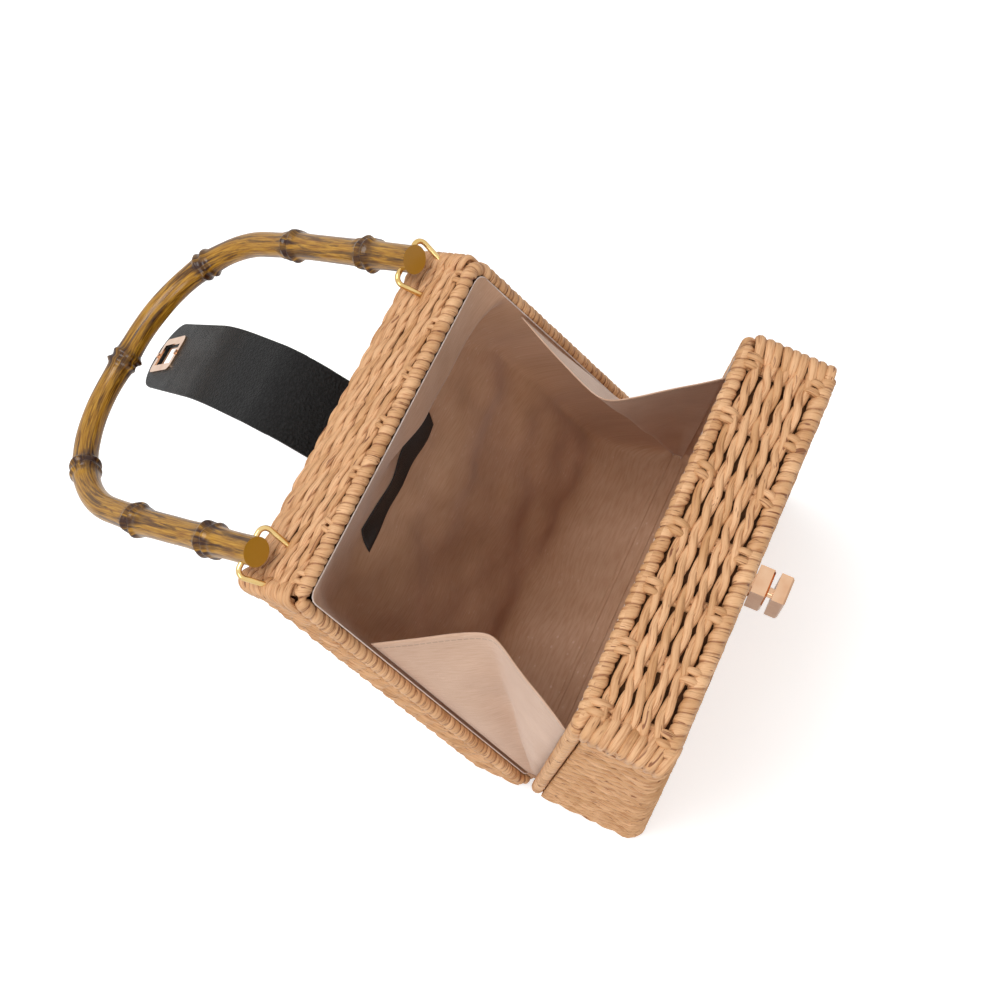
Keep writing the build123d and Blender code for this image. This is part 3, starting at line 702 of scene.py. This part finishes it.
# %% Cotton materials
def cotton_material(name, light, dark, hem=None):
    """Fine cotton; the cloth UV map is in millimetres, and hem is a stitched line at that V."""
    made, tree, shader = new_material(name)
    uv = add(tree, "UVMap", uv_map="cloth")
    along, rise = add(tree, "SeparateXYZ", {"Vector": uv}).outputs[:2]
    threads = {}
    for number, axis in enumerate((along, rise)):
        # Threads 0.48 mm apart, coarser than the real ones, so that they show.
        angle = add(tree, "Math", {0: axis, 1: 13.0}, operation="MULTIPLY")
        threads[number] = add(tree, "Math", {0: angle}, operation="SINE")
    weave = add(tree, "Math", threads, operation="MULTIPLY")
    soft = add(tree, "TexNoise", {"Vector": uv, "Scale": 0.035, "Detail": 3.0})
    slub = stretched_noise(tree, uv, (0.12, 1.6), Detail=3.0)
    base = add(tree, "ValToRGB", {"Fac": soft}, [(0.3, dark), (0.7, light)])
    pale = add(tree, "ValToRGB", {"Fac": slub}, [(0.35, "#E4D3C6"), (0.6, "#FFFFFF")])
    base = add(tree, "Mix", {0: 0.5, 6: base, 7: pale}, data_type="RGBA", blend_type="MULTIPLY")
    place = add(tree, "Mapping", {"Vector": uv, "Scale": (0.16, 0.5, 1)})
    fleck = add(tree, "TexVoronoi", {"Vector": place, "Scale": 1.0, "Randomness": 0.35})
    spots = add(tree, "ValToRGB", {"Fac": fleck}, [(0.08, "#FFFFFF"), (0.16, "#000000")])
    bands = add(tree, "ValToRGB", {"Fac": soft}, [(0.45, "#000000"), (0.58, "#808080")])
    spots = add(tree, "Math", {0: spots, 1: bands}, operation="MULTIPLY")
    base = add(tree, "Mix", {0: spots, 6: base, 7: "#FFE9D2"}, data_type="RGBA")
    height = add(tree, "Math", {0: slub, 1: 0.8, 2: weave}, operation="MULTIPLY_ADD")
    if hem is not None:
        off = add(tree, "Math", {0: rise, 1: hem}, operation="SUBTRACT")
        off = add(tree, "Math", {0: off}, operation="ABSOLUTE")
        line = add(tree, "ValToRGB", {"Fac": off}, [(0.2, "#FFFFFF"), (0.5, "#000000")])
        dash = add(tree, "Math", {0: along, 1: 2.6}, operation="MODULO")
        dash = add(tree, "Math", {0: dash, 1: 0.6}, operation="GREATER_THAN")
        line = add(tree, "Math", {0: line, 1: dash}, operation="MULTIPLY")
        share = add(tree, "Math", {0: line, 1: 0.55}, operation="MULTIPLY")
        base = add(tree, "Mix", {0: share, 6: base, 7: "#8F7562"}, data_type="RGBA")
        height = add(tree, "Math", {0: line, 1: -3.0, 2: height}, operation="MULTIPLY_ADD")
    bump = add(tree, "Bump", {"Height": height, "Strength": 0.3, "Distance": 0.0001})
    feed(tree, shader, {"Base Color": base, "Roughness": 0.62, "Sheen Weight": 0.25,
                        "Normal": bump})
    return made


lining_cotton = cotton_material("beige_pink_cotton_sateen", "#CBA284", "#B88E6D")
# Painted light: the gussets are the lining's cotton with lighter colours, as they catch more of the
# lamps.
lit_hemmed_cotton = cotton_material("painted_lit_gusset_cotton", "#D3B198", "#C6A288", hem=4.0)


# %% Cloth builder and linings
def smooth(value):
    """Zero below nothing, one above one, and a soft S between."""
    value = np.clip(value, 0, 1)
    return value * value * (3 - 2 * value)


def cloth_mesh(name, points, uv, thick, skip=None, edge=1.0):
    """A closed sheet over a grid of points, with the cloth UV map; skip marks missing cells."""
    rows, columns = points.shape[:2]
    normal = np.cross(np.gradient(points, axis=1), np.gradient(points, axis=0))
    normal /= np.linalg.norm(normal, axis=2)[:, :, None] + 1e-12
    half = np.full((rows, columns, 1), thick / 2)
    half[0], half[-1], half[:, 0], half[:, -1] = [thick / 2 * edge] * 4
    layers = np.stack([points + normal * half, points - normal * half]).reshape(-1, 3)
    keep = np.ones((rows - 1, columns - 1), bool) if skip is None else ~skip
    padded = np.pad(keep, 1)
    faces = []
    under = rows * columns
    for i, j in zip(*np.nonzero(keep)):
        a, b = i * columns + j, i * columns + j + 1
        c, d = b + columns, a + columns
        faces += [(a, b, c, d), (d + under, c + under, b + under, a + under)]
        for beside, p, q in ((padded[i, j + 1], b, a), (padded[i + 1, j + 2], c, b),
                             (padded[i + 2, j + 1], d, c), (padded[i + 1, j], a, d)):
            if not beside:
                faces.append((p, q, q + under, p + under))
    mesh = bpy.data.meshes.new(name)
    mesh.from_pydata(layers.tolist(), [], faces)
    write_uv(mesh, "cloth", uv.reshape(-1, 2)[face_corners(mesh) % under])
    return mesh

# %% Depth of the linings
LINING_LOW, LINING_HIGH = 7.2, 194.3


def cloth_half(z):
    """Half the lining's width at height z, with the mouth's round corners."""
    near = np.minimum(z - LINING_LOW, LINING_HIGH - z)
    corner = 5.0 - np.sqrt(np.maximum(25.0 - np.maximum(5.0 - near, 0) ** 2, 0))
    return half_width(z) - 5.7 - corner


def wrinkles(x, z, seed):
    """Soft random wrinkles between about -1 and 1."""
    rng = np.random.default_rng(seed)
    total = np.zeros_like(x)
    for _ in range(9):
        long = rng.uniform(22, 75)
        turn = rng.uniform(0, math.pi)
        wave = (x * math.cos(turn) + z * math.sin(turn)) * 2 * math.pi / long + rng.uniform(0, 6)
        bend = 0.8 * np.sin((z * math.cos(turn) - x * math.sin(turn)) / 19 + rng.uniform(0, 6))
        total += np.sin(wave + bend) * long / 75
    return total / 3


def cloth_depth(half, x, z):
    """How far behind the mouth the lining lies at x and z."""
    full = depth_at(half, z) - 5.4
    side = np.maximum(cloth_half(z) - np.abs(x), 0)
    top, low = LINING_HIGH - z, z - LINING_LOW
    run = np.full_like(x, 9.0)
    over = 1 - (1 - np.clip(top / 13, 0, 1)) ** 2
    if half == "back":
        run = 11 + 15 * smooth((z - 135) / 30) * smooth(x / 20)
        slope = 1 - (1 - np.clip(top / 46, 0, 1)) ** 1.7
        curtain = 0.27 * np.clip(top / 19, 0, 1) + 0.73 * smooth((top - 18) / 7)
        over = slope + (curtain - slope) * smooth((x + 14) / 30)
    beside = 1 - (1 - np.clip(side / run, 0, 1)) ** 2
    share = beside * over * (1 - (1 - np.clip(low / 30, 0, 1)) ** 2)
    loose = 3.0 * (1 + np.tanh(1.3 * wrinkles(x, z, 3 if half == "back" else 8)))
    return 1.2 + (full - 1.2 - loose) * share


def dense_ends(count, power):
    """Places from 0 to 1 that lie closer together at both ends."""
    t = np.linspace(-1, 1, count)
    return (1 + np.sign(t) * (1 - (1 - np.abs(t)) ** power)) / 2


for half in ("back", "front"):
    z = LINING_LOW + (LINING_HIGH - LINING_LOW) * dense_ends(110, 1.5)
    across = 2 * dense_ends(110, 1.5) - 1
    z, across = np.meshgrid(z, across, indexing="ij")
    x = across * cloth_half(z)
    y = cloth_depth(half, x, z) * SIDE[half]
    mesh = cloth_mesh(half + "_lining_cloth", np.stack([x, y, z], axis=2),
                      np.stack([x, z], axis=2), 0.4)
    cloth = finish_piece(mesh, lining_cotton, BODY[half], stand(half),
                         (half + "_lining",))
    deep = depth_at(half, 100) - 7

# %% [markdown]
# ## Label, edge piping and hinge strip
# A bare black ribbon label is sewn near the top of the back lining, a little aslant. A thin
# pale piping shows between each rim and its lining. At the bottom one strip of the same
# cotton bridges both linings.

# %% Ribbon label
# Woven nylon ribbon: nearly black, with fine ribs that break up its low shine.
ribbon, tree, shader = new_material("black_woven_ribbon")
ribs = add(tree, "TexWave", {"Vector": add(tree, "UVMap", uv_map="cloth"), "Scale": 1.6,
                             "Distortion": 0.4}, bands_direction="Y").outputs["Fac"]
feed(tree, shader, {
    "Base Color": add(tree, "ValToRGB", {"Fac": ribs}, [(0.2, "#151110"), (0.8, "#2A2320")]),
    "Normal": add(tree, "Bump", {"Height": ribs, "Strength": 0.4, "Distance": 0.0001}),
    "Roughness": 0.55})
rise, along = np.meshgrid(np.linspace(0, 1, 9), np.linspace(0, 1, 50), indexing="ij")
x = -41 + 6 * rise + 64 * along
z = 149 + 12 * rise
places = np.stack([x, cloth_depth("back", x, z), z], axis=2)
facing = np.cross(np.gradient(places, axis=0), np.gradient(places, axis=1))
facing /= np.linalg.norm(facing, axis=2)[:, :, None]
places -= 0.6 * facing * np.sign(facing[:, :, 1:2])
mesh = cloth_mesh("ribbon_label", places, np.stack([x, z], axis=2), 0.25)
label = finish_piece(mesh, ribbon, "back_half", stand("back"), ("lining_label",))

# %% Piping and hinge strip
piping_cotton = cotton_material("pale_piping_cotton", "#E9DDD6", "#DDCCC2")
for half in ("back", "front"):
    edge = rim_line(5.8, 1.3, 6.4, 4.5, 2.0) * (1, SIDE[half], 1)
    run = np.column_stack([edge, np.full(len(edge), 1.0 if half == "front" else 0.6)])
    mesh = tube_mesh(half + "_piping", [run], 1.0, 1.0, 8, closed=True, twist="MINIMUM")
    mesh.uv_layers["fibre"].name = "cloth"
    finish_piece(mesh, piping_cotton, BODY[half], stand(half))

share, x = np.meshgrid(np.linspace(0, 1, 9), np.linspace(-93, 93, 60), indexing="ij")
low = [on_half(half, np.column_stack([x[0], np.full(60, 3.4), np.full(60, 8.3)]))
       for half in ("back", "front")]
strip = low[0] + (low[1] - low[0]) * share[:, :, None]
strip[:, :, 2] -= 0.0006 * np.sin(math.pi * share)
mesh = cloth_mesh("lining_hinge_strip", strip, np.stack([x, share * 5], axis=2), 0.0004)
strip = finish_piece(mesh, lining_cotton, None)
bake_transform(strip)
wide = float(np.linalg.norm(low[0][0] - low[1][0]))
print("hinge strip width", round(wide * 1000, 2))

# %% [markdown]
# ## Gussets
# At each side a triangle of cotton joins the two mouths, with its fold drawn inwards, so that
# the bag opens like a purse. The upper edge is hemmed with one row of stitches.

# %% Gussets
def gusset(name, side, hem_at, node, seed):
    """One folded gusset, from the hinge up to its hem."""
    rise, share = np.meshgrid(np.linspace(0, 1, 70), np.linspace(0, 1, 61), indexing="ij")
    z = 9.0 + (hem_at - 9.0) * rise
    x = side * (half_width(z) - 7.7)
    ends = [on_half(half, np.stack([x, np.full_like(x, 1.6), z], axis=2).reshape(-1, 3))
            .reshape(x.shape + (3,)) for half in ("back", "front")]
    lean = math.radians((20.01 - 13.69) / 2)
    apex = np.array(HINGE_LINE) + np.array([side * 55.1, 141 * math.sin(lean),
                                            141 * math.cos(lean)]) / 1000
    middle = (ends[0] + ends[1]) / 2
    fold = middle[:1, :1] + (apex - middle[:1, :1]) * rise[:, :, None]
    off = 2 * share - 1
    soft = 0.12
    crease = (math.hypot(1, soft) - np.hypot(off, soft)) / (math.hypot(1, soft) - soft)
    points = ends[0] + (ends[1] - ends[0]) * share[:, :, None]
    points += (fold - middle) * crease[:, :, None]
    bulge = np.sin(math.pi * rise) * np.sin(math.pi * np.abs(off)) * 0.0035
    ripple = wrinkles(share * 90, z, seed) * 0.0009 * np.minimum(1, 4 * rise) * (1 - off ** 2)
    points[:, :, 0] += side * (bulge + ripple)
    across = np.concatenate([np.zeros((70, 1)), np.cumsum(np.linalg.norm(
        np.diff(points, axis=1), axis=2), axis=1)], axis=1) * 1000
    mesh = cloth_mesh(name, points, np.stack([across, hem_at - z], axis=2), 0.0005)
    made = finish_piece(mesh, lit_hemmed_cotton, None, replaces=(node,))
    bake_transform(made)


gusset("left_gusset_cloth", -1, 152.0, "gusset_left", 12)
gusset("right_gusset_cloth", 1, 160.0, "gusset_right", 19)

# %% [markdown]
# ## Wire rings
# Two rings of polished pale gold wire hold the handle. Their narrow end lies under the weave
# and their wide bar goes through the handle's ends.

# %% Metals and rings
def metal_material(name, light, dark, rough):
    """Plated metal with faint polishing marks and a breath of tarnish."""
    made, tree, shader = new_material(name)
    place = add(tree, "TexCoord").outputs["Object"]
    cloud = add(tree, "TexNoise", {"Vector": place, "Scale": 90.0, "Detail": 3.0})
    # Polishing marks half a millimetre apart, just coarse enough to soften the highlights.
    marks = add(tree, "TexNoise", {"Vector": place, "Scale": 2200.0, "Detail": 2.0})
    feed(tree, shader, {
        "Base Color": add(tree, "ValToRGB", {"Fac": cloud}, [(0.3, dark), (0.65, light)]),
        "Roughness": add(tree, "MapRange", {"Value": cloud, "To Min": rough,
                                            "To Max": rough * 1.9}),
        "Normal": add(tree, "Bump", {"Height": marks, "Strength": 0.06, "Distance": 0.00005}),
        "Metallic": 1.0})
    return made


pale_gold = metal_material("pale_gold_wire", "#EBCB8C", "#DDB873", 0.12)
rose_gold = metal_material("polished_rose_gold", "#ECC3A0", "#DBA882", 0.07)
satin_gold = metal_material("satin_rose_gold", "#D9B79B", "#C9A284", 0.3)

RING_LEAN = math.radians(21.0)
RING_PIVOT = (20.0, 195.5)
RING_BAR = (RING_PIVOT[0] + 16.6 * math.sin(RING_LEAN), RING_PIVOT[1] + 16.6 * math.cos(RING_LEAN))
for side, word in ((-1, "left"), (1, "right")):
    loop = rounded([(-8.2, 0, 0), (8.2, 0, 0), (11.2, 16.6, 0), (-11.2, 16.6, 0)],
                   (2.6, 2.6, 3.2, 3.2), closed=True, steps=8)
    line = np.column_stack([side * 67.5 + loop[:, 0],
                            RING_PIVOT[0] + loop[:, 1] * math.sin(RING_LEAN),
                            RING_PIVOT[1] + loop[:, 1] * math.cos(RING_LEAN)])
    mesh = tube_mesh("wire_ring_" + word, [line], 2.3, 2.3, 14, closed=True, twist="MINIMUM")
    finish_piece(mesh, pale_gold, "ring_" + word, stand("back"), ("d_ring_" + word,))

# %% [markdown]
# ## Bamboo-look handle
# The handle is moulded resin painted like bamboo: an ochre horseshoe with seven knuckles.
# Each knuckle is a pair of raised bands with small knots, and dark brown stain gathers there
# and runs out in streaks along the rod. A second UV map says how near each knuckle is.

# %% Stained resin
# The stain's streaks are about 2.4 mm wide and ten times as long.
resin, tree, shader = new_material("stained_bamboo_resin")
uv = add(tree, "UVMap", uv_map="fibre")
near = add(tree, "SeparateXYZ", {"Vector": add(tree, "UVMap", uv_map="knuckle")})
streak = stretched_noise(tree, uv, (0.42, 0.035), Detail=5.0, Roughness=0.65, Distortion=0.4)
fine = stretched_noise(tree, uv, (1.4, 0.09), Detail=3.0)
base = add(tree, "ValToRGB", {"Fac": fine}, [(0.3, "#7E4F12"), (0.5, "#A4741F"), (0.7, "#BD8C32")])
stain = add(tree, "Math", {0: near, 1: 0.15, 2: streak}, operation="MULTIPLY_ADD")
stain = add(tree, "ValToRGB", {"Fac": stain},
            [(0.5, "#000000"), (0.57, "#C8C8C8"), (0.7, "#FFFFFF")])
feed(tree, shader, {
    "Base Color": add(tree, "Mix", {0: stain, 6: base, 7: "#331606"}, data_type="RGBA"),
    "Roughness": 0.3, "Specular IOR Level": 0.3, "Coat Weight": 0.15, "Coat Roughness": 0.12,
    "Normal": add(tree, "Bump", {"Height": fine, "Strength": 0.25, "Distance": 0.0003})})

# %% Line and knuckles of the handle
HANDLE_DROOP = math.radians(3.0)
KNUCKLES = [0.068, 0.195, 0.348, 0.5, 0.652, 0.805, 0.932]
arch = even(rounded([(67.5, -5, 0), (71.5, 72.9, 0), (71.5, 162, 0),
                     (-71.5, 162, 0), (-71.5, 72.9, 0), (-67.5, -5, 0)], 60.0, steps=40), 0.8)
line = np.column_stack([arch[:, 0], RING_BAR[0] + arch[:, 1] * math.cos(HANDLE_DROOP),
                        RING_BAR[1] - arch[:, 1] * math.sin(HANDLE_DROOP)])
sides = 36
mesh = tube_mesh("bamboo_handle", [line], 12.0, 12.0, sides, twist="MINIMUM")
place, first, ring = tube_rings(mesh, line, sides)
turn = np.tile(np.arange(sides), len(line)) * 2 * math.pi / sides
gap = np.linalg.norm(line[1] - line[0])
reach = ring * gap
length = (len(line) - 1) * gap
swell = np.zeros(len(ring))
nearness = np.zeros(len(ring))
for number, share in enumerate(KNUCKLES):
    off = reach - share * length
    knot = 1 + 0.3 * np.sin(3 * turn + number * 1.7) + 0.22 * np.sin(5 * turn - number)
    swell += 1.15 * knot * np.exp(-((off - 2.3) / 1.35) ** 2)
    swell += 1.25 * (2 - knot) * np.exp(-((off + 2.3) / 1.45) ** 2)
    swell += 0.55 * np.exp(-(off / 7.5) ** 2)
    swell += 0.5 * np.maximum(0, np.sin(2 * turn + number)) * np.exp(-((off - 6.5) / 1.8) ** 2)
    nearness = np.maximum(nearness, np.exp(-(off / 6.0) ** 2))
swell -= 0.25 + 0.12 * wander(len(line), 20, 77)[ring]
arm = place[first:] - line[ring]
place[first:] = line[ring] + arm * (1 + swell / 6.0)[:, None]
mesh.vertices.foreach_set("co", place.ravel())
near_all = np.zeros(len(place))
near_all[first:] = nearness
write_uv(mesh, "knuckle", np.column_stack([near_all[face_corners(mesh)]] * 2))
finish_piece(mesh, resin, "handle", stand("back"), ("handle",))

# %% [markdown]
# ## Leather strap
# The strap is sewn to the back panel, rises over the top edge and lies thrown back. It is one
# band with a round tip and a slot for the lock. The black leather is pebbled, and its cut
# edges are pared thinner.

# %% Pebbled leather
# Pebbles about a millimetre wide catch small soft lights on a nearly black skin: each pebble's top
# is painted lighter as a painted highlight, and the skin between them darker as painted shade.
leather, tree, shader = new_material("black_pebbled_leather")
uv = add(tree, "UVMap", uv_map="cloth")
pebble = add(tree, "TexVoronoi", {"Vector": uv, "Scale": 0.95, "Randomness": 0.9},
             feature="SMOOTH_F1")
grain = add(tree, "TexNoise", {"Vector": uv, "Scale": 2.2, "Detail": 4.0})
bend = add(tree, "TexNoise", {"Vector": uv, "Scale": 0.08, "Detail": 2.0})
height = add(tree, "Math", {0: pebble, 1: -1.0, 2: grain}, operation="MULTIPLY_ADD")
feed(tree, shader, {
    "Base Color": add(tree, "ValToRGB", {"Fac": pebble}, [(0.1, "#1F1E1E"), (0.6, "#0E0D0D")]),
    "Normal": add(tree, "Bump", {"Height": height, "Strength": 1.0, "Distance": 0.0012}),
    "Roughness": add(tree, "MapRange", {"Value": bend, "To Min": 0.34, "To Max": 0.55}),
    "Specular IOR Level": 0.25})

# %% The strap's band
STRAP_HALF = 19.0
TIP = (17.0, 194.5)
SLOT_X = (10.44, 22.64)


def drift(y):
    """How far the strap's middle has gone sideways at y: straight, a bend, straight again."""
    past = np.clip(y - 50.09, 0, 18.75)
    return np.where(y < 68.84, 150 - np.sqrt(150.0 ** 2 - past ** 2), (y - 59.5) * 0.12593)


side_view = rounded([(40.84, 118.0, 0), (39.76, 172.0, 0), (59.5, 208.0, 0), (111.5, 208.0, 0),
                     (213.5, 172.0, 0)], (0, 20.0, 24.0, 110.0, 0), steps=16)
rows = even(side_view, 1.5)[:, :2]
rows = rows[rows[:, 0] < 178.0]
tip_turn = np.radians([40, 46, 53, 60, 67, 74, 81, 87])
tip_places = np.concatenate([np.linspace(178.99, 202.75, 17), [204.2, 205.6],
                             TIP[1] + STRAP_HALF * np.sin(tip_turn)])
rows = np.vstack([rows, np.column_stack([tip_places, np.interp(
    tip_places, side_view[-2:, 0], side_view[-2:, 1])])])
row_y = rows[:, :1]
round_tip = np.sqrt(np.maximum(STRAP_HALF ** 2 - (row_y - TIP[1]) ** 2, 0))
skew = math.atan(0.12593)
wide = STRAP_HALF / np.where(row_y > 60, math.cos(skew), 1.0)
left = np.where(row_y < 196.87, drift(row_y) - wide, TIP[0] - round_tip)
right = np.where(row_y < 192.13, drift(row_y) + wide, TIP[0] + round_tip)
unit = np.concatenate([[-1, -0.985, -0.93], np.linspace(-0.82, -0.42, 5), np.linspace(-1, 1, 9) / 3,
                       np.linspace(0.42, 0.82, 5), [0.93, 0.985, 1]])
to_slot = smooth((row_y - 160) / 15)
inner = [(1 - to_slot) * (drift(row_y) + s * 6.1) + to_slot * SLOT_X[s > 0] for s in (-1, 1)]
outer_share = (np.abs(unit) - 1 / 3) * 1.5
x = np.where(unit < -0.334, inner[0] + (left - inner[0]) * outer_share,
             np.where(unit > 0.334, inner[1] + (right - inner[1]) * outer_share,
                      inner[0] + (inner[1] - inner[0]) * (unit * 1.5 + 0.5)))
x = np.where(row_y > 206, left + (right - left) * (unit + 1) / 2, x)
y = np.repeat(row_y, len(unit), axis=1)
z = np.repeat(rows[:, 1:], len(unit), axis=1)
in_slot = ((rows[:-1, 0] > 178.9) & (rows[1:, 0] < 202.8))[:, None] & (np.abs(
    (unit[:-1] + unit[1:]) / 2) < 0.333)[None, :]
along = reach_along(rows)
mesh = cloth_mesh("leather_strap", np.stack([x, y, z], axis=2),
                  np.stack([x, np.repeat(along[:, None], len(unit), axis=1)], axis=2), 2.0,
                  skip=in_slot, edge=0.62)
finish_piece(mesh, leather, "back_half", stand("back"), ("strap",))

# %% [markdown]
# ## Metal and thread on the CAD pieces
# The lock, the slot's plates and screws, the stitches and the rims' paper cores are used as
# the CAD model has them. They only get their finish, and the metal a fine bevel.

# %% Finishes on CAD pieces
thread = flecked_material("black_waxed_thread", 1800.0, 2.0,
                          [(0.3, "#101010"), (0.7, "#2B2A29")], 0.6)
paper = flecked_material("white_paper_core", 900.0, 4.0,
                         [(0.3, "#DAD6CE"), (0.7, "#F1EFEA")], 0.85)
# Each material, and the bevel in millimetres of each node that wears it.
finishes = [
    (rose_gold, {"lock_base": 0.25, "lock_knob": 0.3, "lock_spindle": 0, "slot_plate": 0.2,
                 "slot_screws": 0.2}),
    (satin_gold, {"slot_back_plate": 0.2, "lock_washer": 0.15}),
    (thread, {"strap_stitching": 0.15}), (paper, {"back_rim_core": 0, "front_rim_core": 0})]
for material, bevels in finishes:
    for name, bevel in bevels.items():
        node = nodes[name]
        node.data.materials.clear()
        node.data.materials.append(material)
        if bevel:
            soft = node.modifiers.new("fine_bevel", "BEVEL")
            soft.width, soft.segments = bevel / 1000, 2
            soft.limit_method, soft.angle_limit = "ANGLE", math.radians(40)
print("finishes on CAD nodes", sum(len(bevels) for _, bevels in finishes))

# %% [markdown]
# ## Straw lacing of the hinge
# Six ties of doubled straw go round both bottom rims and let the halves turn about each
# other.

# %% Hinge ties
centres = [on_half(half, [(0, 3.5, 3.0)])[0] * 1000 for half in ("back", "front")]
toward = math.atan2(centres[1][2] - centres[0][2], centres[1][1] - centres[0][1])
runs = []
for number in range(6):
    for off in (-0.8, 0.8):
        line = []
        for centre, first in zip(centres, (toward + math.pi / 2, toward - math.pi / 2)):
            for k in range(13):
                turn = first + math.pi * k / 12
                line.append(((number - 2.5) * 32 + off, centre[1] + 4.0 * math.cos(turn),
                             centre[2] + 4.0 * math.sin(turn)))
        runs.append(even(line, 1.0, closed=True))
mesh = tube_mesh("hinge_ties", runs, 1.5, 1.5, 8, closed=True, twist="MINIMUM")
ties = finish_piece(mesh, straw, None, Matrix.Scale(0.001, 4), ("hinge_lacing",))
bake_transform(ties)

# %% [markdown]
# ## Floor and light
# The bag stands on a plain pale floor under soft studio lamps: a large one overhead, and a
# weaker one to the left. The world and the floor show white to the camera.

# %% World light
bpy.context.scene.view_settings.view_transform = "Standard"
world = bpy.data.worlds.new("studio_world")
bpy.context.scene.world = world
world.use_nodes = True
tree = world.node_tree
rays = add(tree, "LightPath").outputs
seen = add(tree, "Math", {0: rays["Is Camera Ray"], 1: rays["Is Glossy Ray"]}, operation="MAXIMUM")
seen = add(tree, "Math", {0: seen, 1: rays["Is Transmission Ray"]}, operation="MAXIMUM")
feed(tree, tree.nodes["Background"], {
    "Color": "#FFFFFF",
    "Strength": add(tree, "MapRange", {"Value": seen, "To Min": 0.55, "To Max": 1.0})})

# %% Floor
floor_paint, tree, shader = new_material("matt_white_floor_paint")
rays = add(tree, "LightPath").outputs
feed(tree, shader, {
    "Base Color": "#F4F4F4", "Roughness": 0.9, "Emission Color": "#FFFFFF",
    "Emission Strength": add(tree, "Math", {0: rays["Is Camera Ray"], 1: 0.4},
                             operation="MULTIPLY")})
work = bmesh.new()
bmesh.ops.create_grid(work, x_segments=1, y_segments=1, size=6.0)
floor_mesh = bpy.data.meshes.new("floor")
work.to_mesh(floor_mesh)
work.free()
floor_mesh.materials.append(floor_paint)
floor = bpy.data.objects.new("floor", floor_mesh)
bpy.context.scene.collection.objects.link(floor)
floor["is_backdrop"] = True

# %% Lamps
def lamp(name, place, target, size, watts):
    """A square soft box that looks at a target."""
    data = bpy.data.lights.new(name, "AREA")
    data.shape, data.size, data.energy = "SQUARE", size, watts
    holder = bpy.data.objects.new(name, data)
    bpy.context.scene.collection.objects.link(holder)
    holder.location = place
    holder.rotation_euler = (Vector(target) - Vector(place)).to_track_quat("-Z", "Y").to_euler()


lamp("overhead_lamp", (-0.15, 0.25, 1.5), (0, 0, 0.1), 0.8, 11.0)
lamp("left_lamp", (-1.3, -0.7, 1.1), (0, 0, 0.1), 0.7, 7.0)

# %% Sizes and finish
low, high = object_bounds()
